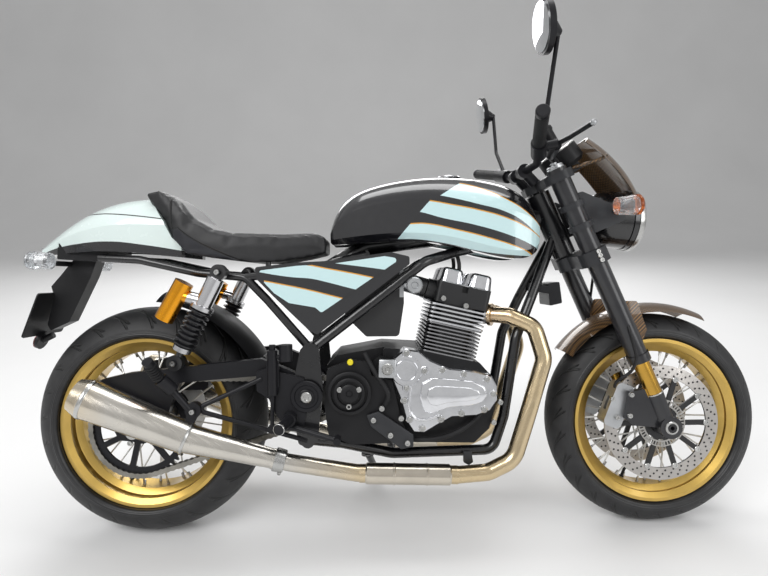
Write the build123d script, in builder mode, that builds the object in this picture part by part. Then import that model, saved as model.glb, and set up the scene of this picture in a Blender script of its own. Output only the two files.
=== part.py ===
from build123d import *
from math import asin, atan2, ceil, cos, degrees, hypot, pi, radians, sin, tan
import os

os.makedirs("parts", exist_ok=True)

# A cafe racer motorcycle, leaning on its side stand.
# It is drawn upright (X forward, Y to its left, Z up, ground at Z = 0 and the
# rear axle above X = 0), and leaned and moved to its parked place at the end.

# Stance
LEAN = 10.26
WHEELBASE = 1420.0
RAKE = 24.0
STEER_GROUND_X = 1519.0

# Wheels and tyres
REAR_R = 315.0
REAR_HALF_W = 90.0
REAR_CROWN = 94.0
REAR_RIM_Y = 76.0
FRONT_R = 300.0
FRONT_HALF_W = 60.0
FRONT_CROWN = 62.0
FRONT_RIM_Y = 51.0
FLANGE_R = 232.0
BEAD_R = 216.0
RIM_WELL = 16.0
RIM_WALL = 7.0
SPOKES = 36
SPOKE_R = 2.2
FLANGE_WALL = 6.0
FIT = 0.3

# The tyres' lowest points lie this much under the lean line.
LEAN_DROP = 1 - cos(radians(LEAN))
REAR_AXLE_Z = REAR_R
FRONT_AXLE_Z = FRONT_R - (REAR_CROWN - FRONT_CROWN) * LEAN_DROP
AXLE_R = 10.0
AXLE_HALF_L = 164.0

# Brakes
DISC_R = 160.0
DISC_WALL = 5.0
DISC_Y = 76.0
DISC_BAND = 34.0
REAR_DISC_R = 110.0
REAR_DISC_Y = 92.0
PAD_GAP = 5.0

# Final drive
CHAIN_Y = -108.0
CHAIN_PITCH = 15.875
CHAIN_HALF_H = 7.4
CHAIN_WAIST = 5.4
CHAIN_W = 19.0
REAR_SPROCKET_R = 129.0
FRONT_SPROCKET_R = 43.0
FRONT_SPROCKET = (545.0, 398.0)
SPROCKET_WALL = 6.5
CHAIN_SLOT_W = SPROCKET_WALL + 2 * FIT
TOOTH_H = 4.0
SPROCKET_RING = 16.0

# Steering
FORK_Y = 107.0
FORK_OFFSET = 35.0
STEER_STEM_R = 14.0
STEM_BORE_R = 8.0
STEM_BORE_DEPTH = 40.0
STEM_NUT_H = 8.0
AXLE_BORE_R = 6.0
LAMP = (1288.0, 874.0)
LAMP_R = 85.0
LAMP_EAR_Y = (101.0, 107.0)
HEAD_R = 33.0
HEAD_W = (844.0, 1036.0)
LOWER_YOKE_W = (800.0, 838.0)
UPPER_YOKE_W = (1042.0, 1066.0)
FORK_TOP_W = 1076.0
FORK_LIP_W = 514.0
OUTER_TUBE_R = 27.0
STANCHION_R = 21.5
FOOT_TOP_W = 410.0
FOOT_R = 23.0

# Frame
TUBE_R = 14.0
RAIL_R = 11.0
BACKBONE_R = 26.0
FRAME_NODE = (455.0, 130.0, 520.0)
PIVOT = (445.0, 402.0)
PIVOT_R = 12.0
PIVOT_TUBE_R = 25.0
LOWER_BOLT = (448.0, 285.0)
PLATE_Y = (152.0, 160.0)
ARM_Y = (126.0, 150.0)

# Engine
CASE_HALF_W = 112.0
CYLINDER_TILT = 13.0
CYLINDER_FOOT = (820.0, 490.0)
BARREL_H = 88.0
FIN_COUNT = 9
FIN_WALL = 3.6
FIN_HALF_X = 76.0
FIN_HALF_Y = 112.0
BORE_HALF_X = 58.0
HEAD_H = 114.0
HEAD_FINS = 5
HEAD_FIN_PITCH = 11.4
HEAD_FIN_WALL = 4.6

# Side stand: its foot where the lean puts the ground, and its folded lie
STAND_PIVOT = Vector(600.0, 98.0, 170.0)
STAND_FOOT = (628.0, 262.0)
STAND_FOLDED = Vector(-205.0, 16.0, -18.0)
STAND_R = 11.0
STAND_EYE = 16.0
STAND_PIN_R = 8.0
STAND_PAD = 6.0
FOOT_Z = STAND_FOOT[1] * tan(radians(LEAN)) - REAR_CROWN * LEAN_DROP / cos(radians(LEAN))
STAND_LEG = Vector(STAND_FOOT[0], STAND_FOOT[1], FOOT_Z + STAND_PAD) - STAND_PIVOT
STAND_AXIS = STAND_LEG.cross(STAND_FOLDED).normalized()
STAND_FOLD = STAND_LEG.get_angle(STAND_FOLDED)

# Exhaust
HEADER_R = 22.0
COLLECTOR_R = 23.5
MUFFLER = ((377.0, 170.0, 242.0), (150.0, 191.0, 308.0), (-92.0, 210.0, 416.0))
MUFFLER_R = (23.5, 40.0, 49.5)
HEADER = (
    (940, 68, 605),
    (990, 94, 603),
    (1052, 116, 574),
    (1074, 130, 490),
    (1030, 138, 352),
    (988, 145, 226),
    (920, 146, 194),
    (838, 150, 189.5),
    (581, 151, 198),
    (401, 166, 234),
    (377, 170, 242),
)
HEADER_BENDS = [26, 40, 50, 110, 60, 50, 80, 200, 100]

# Bodywork
TUNNEL_HALF_W = 62.0
SEAT_HALF_W = 122.0
SEAT_BASE_Z = 752.0
COWL_HALF_W = 118.0
SEAT_GAP = 1.5


def steer_plane(w, u=0.0, v=0.0):
    """A plane square to the steering axis, w along it from the ground."""
    axis = Plane(
        origin=(STEER_GROUND_X, 0, 0),
        x_dir=(cos(radians(RAKE)), 0, sin(radians(RAKE))),
        z_dir=(-sin(radians(RAKE)), 0, cos(radians(RAKE))),
    )
    return Plane(axis.from_local_coords((u, v, w)), x_dir=axis.x_dir, z_dir=axis.z_dir)


def steer_point(u, v, w):
    """A point given in the steering axis' own directions."""
    return tuple(steer_plane(w, u, v).origin)


def side(y):
    """The upright plane along the motorcycle at one Y, facing its right."""
    return Plane.XZ.offset(-y)


def tube(points, bend, radius):
    """Add a round bar along straight runs joined by bends."""
    with BuildLine() as path:
        if len(points) > 2:
            FilletPolyline(*points, radius=bend)
        else:
            Line(*points)
    route = path.wires()[0]
    with BuildSketch(Plane(route @ 0, z_dir=route % 0)) as section:
        Circle(radius)
    sweep(section.sketch, path=route)


def rod(start, end, radius, end_radius=None):
    """Add a straight round bar, or a cone, from one point to another."""
    reach = Vector(*end) - Vector(*start)
    stand = (Align.CENTER, Align.CENTER, Align.MIN)
    with Locations(Plane(start, z_dir=reach).location):
        if end_radius is None:
            Cylinder(radius, reach.length, align=stand)
        else:
            Cone(radius, end_radius, reach.length, align=stand)


def turned(start, towards, outline):
    """Add a turned piece: pairs of distance along its axis and radius."""
    begin = Vector(*start)
    axis = (Vector(*towards) - begin).normalized()
    with BuildSketch(Plane(begin, x_dir=axis, z_dir=axis.cross(Vector(0, 0, 1)))) as section:
        with BuildLine():
            Polyline((outline[0][0], 0), *outline, (outline[-1][0], 0), close=True)
        make_face()
    revolve(section.sketch, axis=Axis(begin, axis))


def plate(points, y_from, y_to, corner=0.0):
    """Add a flat plate: an XZ outline from one Y to another."""
    with BuildSketch(side(y_to)) as outline:
        with BuildLine():
            Polyline(*points, close=True)
        make_face()
        if corner > 0:
            fillet(outline.vertices(), corner)
    extrude(outline.sketch, amount=y_to - y_from)


def disc(x, z, radius, y_from, y_to):
    """Add a round boss that stands across the motorcycle."""
    with BuildSketch(side(y_to)) as section:
        with Locations((x, z)):
            Circle(radius)
    extrude(section.sketch, amount=y_to - y_from)


def save(piece, name):
    """Lean and place one finished piece, and write it."""
    parked = piece.part.moved(PARK)
    parked.label = name
    export_step(parked, "parts/" + name + ".step")


def tyre_profile(outer_r, half_w, crown, bead_y):
    """A tyre's half section: X is the distance from the axle, Y across."""
    edge_r = outer_r - crown + (crown**2 - half_w**2) ** 0.5
    with BuildLine() as outline:
        crown_arc = ThreePointArc((edge_r, -half_w), (outer_r, 0), (edge_r, half_w))
        upper = ThreePointArc(
            crown_arc @ 1,
            ((edge_r + FLANGE_R) / 2, half_w - 1),
            (FLANGE_R + 3, bead_y - 2),
        )
        bead = Polyline(
            upper @ 1,
            (FLANGE_R + 1, bead_y - FLANGE_WALL - FIT),
            (BEAD_R + FIT, bead_y - FLANGE_WALL - FIT),
            (BEAD_R + FIT, -bead_y + FLANGE_WALL + FIT),
            (FLANGE_R + 1, -bead_y + FLANGE_WALL + FIT),
            (FLANGE_R + 3, -bead_y + 2),
        )
        ThreePointArc(
            bead @ 1,
            ((edge_r + FLANGE_R) / 2, -half_w + 1),
            crown_arc @ 0,
        )
    make_face(outline.edges())


def rim_profile(rim_y):
    """A spoked rim's section: flanges, bead seats and a dropped well."""
    seat_y = rim_y - FLANGE_WALL
    well_y = rim_y * 0.42
    with BuildLine() as outline:
        Polyline(
            (FLANGE_R, -rim_y),
            (FLANGE_R, -seat_y),
            (BEAD_R, -seat_y),
            (BEAD_R, -well_y - 8),
            (BEAD_R - RIM_WELL, -well_y),
            (BEAD_R - RIM_WELL, well_y),
            (BEAD_R, well_y + 8),
            (BEAD_R, seat_y),
            (FLANGE_R, seat_y),
            (FLANGE_R, rim_y),
            (FLANGE_R - 9, rim_y),
            (BEAD_R - RIM_WALL, seat_y - 3),
            (BEAD_R - RIM_WALL, well_y + 12),
            (BEAD_R - RIM_WELL - RIM_WALL, well_y + 2),
            (BEAD_R - RIM_WELL - RIM_WALL, -well_y - 2),
            (BEAD_R - RIM_WALL, -well_y - 12),
            (BEAD_R - RIM_WALL, -seat_y + 3),
            (FLANGE_R - 9, -rim_y),
            close=True,
        )
    make_face(outline.edges())


def wheel(centre, rim_y, hub_y, hub_r):
    """Add a wire wheel: rim, hub with two flanges, and laced spokes."""
    x, z = centre
    here = Plane((x, 0, z), x_dir=(1, 0, 0), z_dir=(0, 0, 1))
    with BuildSketch(here) as section:
        rim_profile(rim_y)
    revolve(section.sketch, axis=Axis((x, 0, z), (0, 1, 0)))
    disc(x, z, hub_r, -hub_y, hub_y)
    for edge in (-1, 1):
        disc(x, z, hub_r + 14, edge * (hub_y - 10) - 3, edge * (hub_y - 10) + 3)
    well_r = BEAD_R - RIM_WELL - RIM_WALL / 2
    turn = 360 / SPOKES
    for i in range(SPOKES):
        edge = 1 if i % 2 else -1
        lace = 26 if i % 4 < 2 else -26
        at_rim = radians(turn * i)
        at_hub = radians(turn * i + lace)
        rod(
            (x + (hub_r + 8) * cos(at_hub), edge * (hub_y - 10), z + (hub_r + 8) * sin(at_hub)),
            (x + well_r * cos(at_rim), edge * rim_y * 0.2, z + well_r * sin(at_rim)),
            SPOKE_R,
        )
    disc_cut(x, z, AXLE_R + FIT, -hub_y, hub_y)


def disc_cut(x, z, radius, y_from, y_to):
    """Cut a round hole across the motorcycle."""
    with BuildSketch(side(y_to)) as section:
        with Locations((x, z)):
            Circle(radius)
    extrude(section.sketch, amount=y_to - y_from, mode=Mode.SUBTRACT)


REAR = (0.0, REAR_AXLE_Z)
FRONT = (WHEELBASE, FRONT_AXLE_Z)
PARK = Location((0, 0, 0), (-LEAN, 0, 0))

# Rear wheel
with BuildPart() as rear_tyre:
    with BuildSketch(Plane((REAR[0], 0, REAR[1]), x_dir=(1, 0, 0), z_dir=(0, 0, 1))):
        tyre_profile(REAR_R, REAR_HALF_W, REAR_CROWN, REAR_RIM_Y)
    revolve(axis=Axis((REAR[0], 0, REAR[1]), (0, 1, 0)))

REAR_HUB_Y = 78.0
REAR_HUB_R = 34.0
with BuildPart() as rear_wheel:
    wheel(REAR, REAR_RIM_Y, REAR_HUB_Y, REAR_HUB_R)
    disc(REAR[0], REAR[1], REAR_DISC_R, REAR_DISC_Y - DISC_WALL / 2, REAR_DISC_Y + DISC_WALL / 2)
    with BuildSketch(side(REAR_DISC_Y + DISC_WALL)):
        with Locations((REAR[0], REAR[1])):
            with PolarLocations(60, 5):
                SlotOverall(44, 24, rotation=90)
    extrude(amount=DISC_WALL * 2, mode=Mode.SUBTRACT)
    disc(REAR[0], REAR[1], 34, REAR_HUB_Y, REAR_DISC_Y - DISC_WALL / 2)
    disc_cut(REAR[0], REAR[1], AXLE_R + FIT, REAR_HUB_Y, REAR_DISC_Y + DISC_WALL)

# The chain's loop: two circles and the straight runs that touch both.
drive_dx = FRONT_SPROCKET[0] - REAR[0]
drive_dz = FRONT_SPROCKET[1] - REAR[1]
drive_length = hypot(drive_dx, drive_dz)
drive_angle = atan2(drive_dz, drive_dx)
drive_cone = asin((REAR_SPROCKET_R - FRONT_SPROCKET_R) / drive_length)
run_length = drive_length * cos(drive_cone)
front_wrap = FRONT_SPROCKET_R * (pi - 2 * drive_cone)
rear_wrap = REAR_SPROCKET_R * (pi + 2 * drive_cone)
loop_length = 2 * run_length + front_wrap + rear_wrap
LINKS = 2 * round(loop_length / CHAIN_PITCH / 2)


def loop_point(travel, rise):
    """A point beside the chain's line, from its distance round the loop."""
    travel = travel % loop_length
    top = drive_angle + pi / 2 - drive_cone
    if travel < run_length:
        out = top
        x = REAR[0] + REAR_SPROCKET_R * cos(out) + travel * sin(out)
        z = REAR[1] + REAR_SPROCKET_R * sin(out) - travel * cos(out)
    elif travel < run_length + front_wrap:
        out = top - (travel - run_length) / FRONT_SPROCKET_R
        x = FRONT_SPROCKET[0] + FRONT_SPROCKET_R * cos(out)
        z = FRONT_SPROCKET[1] + FRONT_SPROCKET_R * sin(out)
    elif travel < 2 * run_length + front_wrap:
        out = drive_angle - pi / 2 + drive_cone
        back = travel - run_length - front_wrap
        x = FRONT_SPROCKET[0] + FRONT_SPROCKET_R * cos(out) + back * sin(out)
        z = FRONT_SPROCKET[1] + FRONT_SPROCKET_R * sin(out) - back * cos(out)
    else:
        turned = (travel - 2 * run_length - front_wrap) / REAR_SPROCKET_R
        out = drive_angle - pi / 2 + drive_cone - turned
        x = REAR[0] + REAR_SPROCKET_R * cos(out)
        z = REAR[1] + REAR_SPROCKET_R * sin(out)
    return (x + rise * cos(out), z + rise * sin(out))


def loop_face(pin_rise, waist_rise):
    """A closed outline beside the chain's line, waisted between the pins."""
    step = loop_length / LINKS
    points = []
    for i in range(LINKS):
        points.append(loop_point(i * step, pin_rise))
        points.append(loop_point((i + 0.5) * step, waist_rise))
    with BuildLine() as outline:
        Polyline(*points, close=True)
    make_face(outline.edges())


with BuildPart() as chain:
    with BuildSketch(side(CHAIN_Y + CHAIN_W / 2)):
        loop_face(CHAIN_HALF_H, CHAIN_WAIST)
    extrude(amount=CHAIN_W)
    with BuildSketch(side(CHAIN_Y + CHAIN_W / 2)):
        loop_face(-CHAIN_HALF_H, -CHAIN_WAIST)
    extrude(amount=CHAIN_W, mode=Mode.SUBTRACT)
    with BuildSketch(side(CHAIN_Y + CHAIN_SLOT_W / 2)):
        loop_face(TOOTH_H + 2.0, TOOTH_H + 2.0)
    extrude(amount=CHAIN_SLOT_W, mode=Mode.SUBTRACT)


def sprocket(x, z, pitch_r, ring, arms, boss_r, bore_r):
    """Add a sprocket disc with teeth, arms and windows."""
    teeth = round(2 * pi * pitch_r / CHAIN_PITCH)
    here = side(CHAIN_Y + SPROCKET_WALL / 2)
    with BuildSketch(here) as blank:
        with Locations((x, z)):
            Circle(pitch_r - CHAIN_WAIST)
            with PolarLocations(pitch_r - 1, teeth):
                Trapezoid(TOOTH_H * 2.4, CHAIN_WAIST + TOOTH_H, 68, rotation=-90)
    extrude(blank.sketch, amount=SPROCKET_WALL)
    if arms:
        inner = pitch_r - CHAIN_WAIST - ring
        with BuildSketch(here) as windows:
            with Locations((x, z)):
                Circle(inner)
                Circle(boss_r, mode=Mode.SUBTRACT)
                with PolarLocations(0, arms):
                    Rectangle(inner * 2, 15, align=(Align.MIN, Align.CENTER), mode=Mode.SUBTRACT)
        extrude(windows.sketch, amount=SPROCKET_WALL, mode=Mode.SUBTRACT)
    if bore_r > 0:
        disc_cut(x, z, bore_r, CHAIN_Y - SPROCKET_WALL, CHAIN_Y + SPROCKET_WALL)


with BuildPart() as rear_sprocket:
    sprocket(REAR[0], REAR[1], REAR_SPROCKET_R, SPROCKET_RING, 7, 44, AXLE_R + FIT)
    disc(REAR[0], REAR[1], 40, CHAIN_Y + SPROCKET_WALL / 2, -REAR_HUB_Y)
    disc_cut(REAR[0], REAR[1], AXLE_R + FIT, CHAIN_Y, 0)

with BuildPart() as rear_axle:
    disc(REAR[0], REAR[1], AXLE_R, -AXLE_HALF_L, AXLE_HALF_L)
    disc(REAR[0], REAR[1], 17, -AXLE_HALF_L, -ARM_Y[1])
    disc(REAR[0], REAR[1], 17, ARM_Y[1], AXLE_HALF_L)
    disc_cut(REAR[0], REAR[1], AXLE_BORE_R, -AXLE_HALF_L - 1, AXLE_HALF_L + 1)

# Front wheel
with BuildPart() as front_tyre:
    with BuildSketch(Plane((FRONT[0], 0, FRONT[1]), x_dir=(1, 0, 0), z_dir=(0, 0, 1))):
        tyre_profile(FRONT_R, FRONT_HALF_W, FRONT_CROWN, FRONT_RIM_Y)
    revolve(axis=Axis((FRONT[0], 0, FRONT[1]), (0, 1, 0)))

FRONT_HUB_Y = 62.0
FRONT_HUB_R = 30.0
with BuildPart() as front_wheel:
    wheel(FRONT, FRONT_RIM_Y, FRONT_HUB_Y, FRONT_HUB_R)

with BuildPart() as front_discs:
    for edge in (-1, 1):
        middle = edge * DISC_Y
        disc(FRONT[0], FRONT[1], DISC_R, middle - DISC_WALL / 2, middle + DISC_WALL / 2)
    with BuildSketch(side(DISC_Y + DISC_WALL)):
        with Locations((FRONT[0], FRONT[1])):
            Circle(DISC_R - DISC_BAND)
            Circle(46, mode=Mode.SUBTRACT)
            with PolarLocations(0, 10):
                Rectangle(DISC_R, 14, align=(Align.MIN, Align.CENTER), mode=Mode.SUBTRACT)
    extrude(amount=2 * (DISC_Y + DISC_WALL), mode=Mode.SUBTRACT)
    for edge in (-1, 1):
        inner = edge * FRONT_HUB_Y
        outer = edge * (DISC_Y - DISC_WALL / 2)
        disc(FRONT[0], FRONT[1], 40, min(inner, outer), max(inner, outer))
    disc_cut(FRONT[0], FRONT[1], AXLE_R + FIT, -DISC_Y - DISC_WALL, DISC_Y + DISC_WALL)

# Fork, yokes and what turns with them
with BuildPart() as yokes:
    for low, high in (LOWER_YOKE_W, UPPER_YOKE_W):
        with BuildSketch(steer_plane(low)):
            with Locations((FORK_OFFSET, FORK_Y), (FORK_OFFSET, -FORK_Y)):
                Circle(OUTER_TUBE_R + 11)
            with Locations((0, 0)):
                Circle(HEAD_R - 2)
            with Locations((FORK_OFFSET / 2 + 4, 0)):
                Rectangle(FORK_OFFSET + 22, FORK_Y * 2)
        extrude(amount=high - low)
        with BuildSketch(steer_plane(low)):
            with Locations((FORK_OFFSET, FORK_Y), (FORK_OFFSET, -FORK_Y)):
                Circle(OUTER_TUBE_R)
        extrude(amount=high - low, mode=Mode.SUBTRACT)
    with BuildSketch(steer_plane(LOWER_YOKE_W[0])):
        Circle(STEER_STEM_R)
    extrude(amount=UPPER_YOKE_W[1] - LOWER_YOKE_W[0])
    for edge in (-1, 1):
        for w in (900.0, 960.0):
            with BuildSketch(steer_plane(w, FORK_OFFSET, edge * FORK_Y)):
                Circle(OUTER_TUBE_R + 6)
                Circle(OUTER_TUBE_R, mode=Mode.SUBTRACT)
            extrude(amount=16)
        near = min(edge * LAMP_EAR_Y[0], edge * LAMP_EAR_Y[1])
        far = max(edge * LAMP_EAR_Y[0], edge * LAMP_EAR_Y[1])
        plate(
            [(1178, 828), (1150, 928), (1186, 938), (1302, 890), (1306, 862), (1220, 826)],
            near,
            far,
            6,
        )
        rod((1272, edge * LAMP_EAR_Y[0], 884), (1272, edge * 145.8, 888), 6)
        with BuildSketch(steer_plane(LOWER_YOKE_W[0] - 10, FORK_OFFSET, edge * FORK_Y)):
            Circle(OUTER_TUBE_R)
        extrude(amount=FORK_TOP_W - LOWER_YOKE_W[0] + 20, mode=Mode.SUBTRACT)
    with BuildSketch(steer_plane(UPPER_YOKE_W[1])):
        RegularPolygon(STEER_STEM_R + 4, 6)
    extrude(amount=STEM_NUT_H)
    with BuildSketch(steer_plane(UPPER_YOKE_W[1] + STEM_NUT_H - STEM_BORE_DEPTH)):
        Circle(STEM_BORE_R)
    extrude(amount=STEM_BORE_DEPTH, mode=Mode.SUBTRACT)

with BuildPart() as fork_legs:
    for edge in (-1, 1):
        with BuildSketch(steer_plane(FORK_LIP_W, FORK_OFFSET, edge * FORK_Y)):
            Circle(OUTER_TUBE_R)
        extrude(amount=FORK_TOP_W - FORK_LIP_W)
        with BuildSketch(steer_plane(FORK_LIP_W - 6, FORK_OFFSET, edge * FORK_Y)):
            Circle(OUTER_TUBE_R + 3)
        extrude(amount=22)
        with BuildSketch(steer_plane(FOOT_TOP_W, FORK_OFFSET, edge * FORK_Y)):
            Circle(STANCHION_R)
        extrude(amount=FORK_LIP_W - FOOT_TOP_W)
        foot = steer_point(FORK_OFFSET, edge * FORK_Y, FOOT_TOP_W)
        rod(foot, (FRONT[0], edge * FORK_Y, FRONT[1]), FOOT_R)
        disc(FRONT[0], FRONT[1], 30, edge * FORK_Y - FOOT_R, edge * FORK_Y + FOOT_R)
        with BuildSketch(side(edge * FORK_Y + 9)):
            with BuildLine():
                Polyline(
                    (WHEELBASE - 10, FRONT_AXLE_Z - 4),
                    (WHEELBASE - 94, FRONT_AXLE_Z + 4),
                    (WHEELBASE - 118, FRONT_AXLE_Z + 22),
                    (WHEELBASE - 104, FRONT_AXLE_Z + 96),
                    (WHEELBASE - 60, FRONT_AXLE_Z + 104),
                    (WHEELBASE - 18, FRONT_AXLE_Z + 60),
                    close=True,
                )
            make_face()
        extrude(amount=18)
    disc_cut(FRONT[0], FRONT[1], AXLE_R + FIT, -FORK_Y - FOOT_R - 5, FORK_Y + FOOT_R + 5)
    disc(FRONT[0], FRONT[1], AXLE_R, -FORK_Y - FOOT_R - 4, FORK_Y + FOOT_R + 4)
    disc_cut(FRONT[0], FRONT[1], AXLE_BORE_R, -FORK_Y - FOOT_R - 5, FORK_Y + FOOT_R + 5)

CALIPER = (WHEELBASE - 128, FRONT_AXLE_Z + 54)
with BuildPart() as front_calipers:
    for edge in (-1, 1):
        inner = DISC_Y - DISC_WALL / 2 - PAD_GAP - 16
        outer = FORK_Y - 9 - FIT
        middle = edge * (inner + outer) / 2
        half = (outer - inner) / 2
        radial = Plane(
            (CALIPER[0], middle + half, CALIPER[1]),
            x_dir=(-0.36, 0, -0.93),
            z_dir=(0, -1, 0),
        )
        with BuildSketch(radial):
            RectangleRounded(124, 50, 14)
        extrude(amount=2 * half)
    with BuildSketch(side(DISC_Y + DISC_WALL / 2 + PAD_GAP)):
        with Locations((FRONT[0], FRONT[1])):
            Circle(DISC_R + PAD_GAP)
    extrude(amount=DISC_WALL + 2 * PAD_GAP, mode=Mode.SUBTRACT)
    with BuildSketch(side(-DISC_Y + DISC_WALL / 2 + PAD_GAP)):
        with Locations((FRONT[0], FRONT[1])):
            Circle(DISC_R + PAD_GAP)
    extrude(amount=DISC_WALL + 2 * PAD_GAP, mode=Mode.SUBTRACT)

# Front mudguard: an arched blade over the tyre, stayed to the fork
GUARD_R = 332.0
GUARD_EDGE_R = 309.0
GUARD_HALF_W = 70.0
GUARD_WALL = 3.0
GUARD_FROM = 66.0
GUARD_TO = 143.0


def guard_profile(top_r, edge_r, half_w, wall):
    """An arched section: X is the distance from the axle, Y across."""
    with BuildLine() as outline:
        outer = ThreePointArc((edge_r, -half_w), (top_r, 0), (edge_r, half_w))
        inner = ThreePointArc(
            (edge_r, half_w - wall), (top_r - wall, 0), (edge_r, -half_w + wall)
        )
        Line(outer @ 1, inner @ 0)
        Line(inner @ 1, outer @ 0)
    make_face(outline.edges())


def guard(centre, top_r, edge_r, half_w, wall, start, end):
    """Add an arched blade round an axle, between two angles."""
    x, z = centre
    out = radians(start)
    here = Plane((x, 0, z), x_dir=(cos(out), 0, sin(out)), z_dir=(-sin(out), 0, cos(out)))
    with BuildSketch(here) as section:
        guard_profile(top_r, edge_r, half_w, wall)
    revolve(section.sketch, axis=Axis((x, 0, z), (0, -1, 0)), revolution_arc=end - start)


with BuildPart() as front_mudguard:
    guard(FRONT, GUARD_R, GUARD_EDGE_R, GUARD_HALF_W, GUARD_WALL, GUARD_FROM, GUARD_TO)
    for edge in (-1, 1):
        stay = FORK_Y - OUTER_TUBE_R - FIT
        near = min(edge * (GUARD_HALF_W - 3), edge * stay)
        far = max(edge * (GUARD_HALF_W - 3), edge * stay)
        plate(
            [(1296, 640), (1284, 592), (1310, 522), (1356, 505), (1378, 560), (1350, 640)],
            near,
            far,
            8,
        )
    with BuildSketch(side(GUARD_HALF_W)):
        with Locations((FRONT[0], FRONT[1])):
            Circle(GUARD_EDGE_R - 2)
    extrude(amount=2 * GUARD_HALF_W, mode=Mode.SUBTRACT)

# Handlebar with its risers, grips and controls
BAR_R = 11.0
GRIP_R = 16.0
BAR_CLAMP = (1046.0, 40.0, 1004.0)
BAR_BEND = (1064.0, 105.0, 1014.0)
GRIP_IN = (1033.0, 214.0, 1042.0)
GRIP_OUT = (1000.0, 344.0, 1072.0)
with BuildPart() as handlebar:
    right = [BAR_CLAMP, BAR_BEND, GRIP_IN, GRIP_OUT]
    right = [(x, -y, z) for x, y, z in right]
    left = [(x, -y, z) for x, y, z in reversed(right)]
    tube(right[::-1] + left[::-1], 38, BAR_R)
    for edge in (-1, 1):
        foot = steer_point(-8, edge * 40, UPPER_YOKE_W[1])
        rod(foot, (BAR_CLAMP[0], edge * 40, BAR_CLAMP[2]), 15)
        disc(BAR_CLAMP[0], BAR_CLAMP[2], 20, edge * 40 - 13, edge * 40 + 13)
    add(yokes.part, mode=Mode.SUBTRACT)

with BuildPart() as grips:
    for edge in (-1, 1):
        rod(
            (GRIP_IN[0], edge * GRIP_IN[1], GRIP_IN[2]),
            (GRIP_OUT[0], edge * GRIP_OUT[1], GRIP_OUT[2]),
            GRIP_R,
        )
    add(handlebar.part, mode=Mode.SUBTRACT)

CONTROL = (1041.0, 190.0, 1036.0)
LEVER_PIVOT = (1086.0, 196.0, 1044.0)
LEVER_TIP = (1118.0, 338.0, 1056.0)
with BuildPart() as hand_controls:
    for edge in (-1, 1):
        at = (CONTROL[0], edge * CONTROL[1], CONTROL[2])
        rod(
            (1052.0, edge * 154.0, 1026.0),
            (GRIP_IN[0] + 1.2, edge * (GRIP_IN[1] - 2), GRIP_IN[2] - 0.6),
            20,
        )
        rod(at, (LEVER_PIVOT[0], edge * LEVER_PIVOT[1], LEVER_PIVOT[2]), 12)
        tube(
            [
                (LEVER_PIVOT[0], edge * (LEVER_PIVOT[1] - 10), LEVER_PIVOT[2]),
                (LEVER_PIVOT[0] + 14, edge * 240, LEVER_PIVOT[2] + 4),
                (LEVER_TIP[0], edge * LEVER_TIP[1], LEVER_TIP[2]),
            ],
            40,
            6,
        )
    rod((1092, -148, 1044), (1060, -148, 1094), 17)
    rod((1098, -112, 1034), (1086, -190, 1042), 13)
    add(handlebar.part, mode=Mode.SUBTRACT)
    add(grips.part, mode=Mode.SUBTRACT)

MIRROR = (1012.0, 330.0, 1272.0)
MIRROR_R = 60.0
with BuildPart() as mirrors:
    for edge in (-1, 1):
        tube(
            [
                (1049, edge * 196, 1050),
                (1040, edge * 262, 1128),
                (1044, edge * 318, 1262),
            ],
            50,
            5.5,
        )
        facing = Plane(
            (MIRROR[0] - 10, edge * MIRROR[1], MIRROR[2]), z_dir=(1, 0, 0.12)
        )
        with BuildSketch(facing):
            Circle(MIRROR_R)
        extrude(amount=14)
        rod(
            (MIRROR[0], edge * MIRROR[1], MIRROR[2]),
            (MIRROR[0] + 36, edge * (MIRROR[1] - 12), MIRROR[2] - 8),
            30,
            9,
        )
    add(hand_controls.part, mode=Mode.SUBTRACT)
    add(handlebar.part, mode=Mode.SUBTRACT)

# Headlamp, flyscreen, instruments and front indicators
LAMP_TILT = -4.0
lamp_plane = Plane(
    (LAMP[0], 0, LAMP[1]),
    x_dir=(cos(radians(LAMP_TILT)), 0, sin(radians(LAMP_TILT))),
    z_dir=(0, -1, 0),
)
with BuildPart() as headlamp:
    with BuildSketch(lamp_plane):
        with BuildLine():
            Line((-70, 0), (-70, 12))
            ThreePointArc((-70, 12), (-44, LAMP_R * 0.7), (8, LAMP_R - 5))
            Polyline(
                (8, LAMP_R - 5), (54, LAMP_R - 3), (56, LAMP_R), (72, LAMP_R), (74, LAMP_R - 8)
            )
            ThreePointArc((74, LAMP_R - 8), (83, LAMP_R * 0.5), (86, 10))
            Polyline((86, 10), (86, 0), (-70, 0))
        make_face()
    revolve(axis=Axis(lamp_plane.origin, lamp_plane.x_dir))
    for edge in (-1, 1):
        near = min(edge * (LAMP_R - 12), edge * LAMP_EAR_Y[0])
        far = max(edge * (LAMP_R - 12), edge * LAMP_EAR_Y[0])
        disc(LAMP[0], LAMP[1], 14, near, far)

with BuildPart() as front_indicators:
    for edge in (-1, 1):
        turned((1250, edge * 170, 890), (1309, edge * 170, 894), ((0, 22), (46, 26), (59, 19)))


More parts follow.
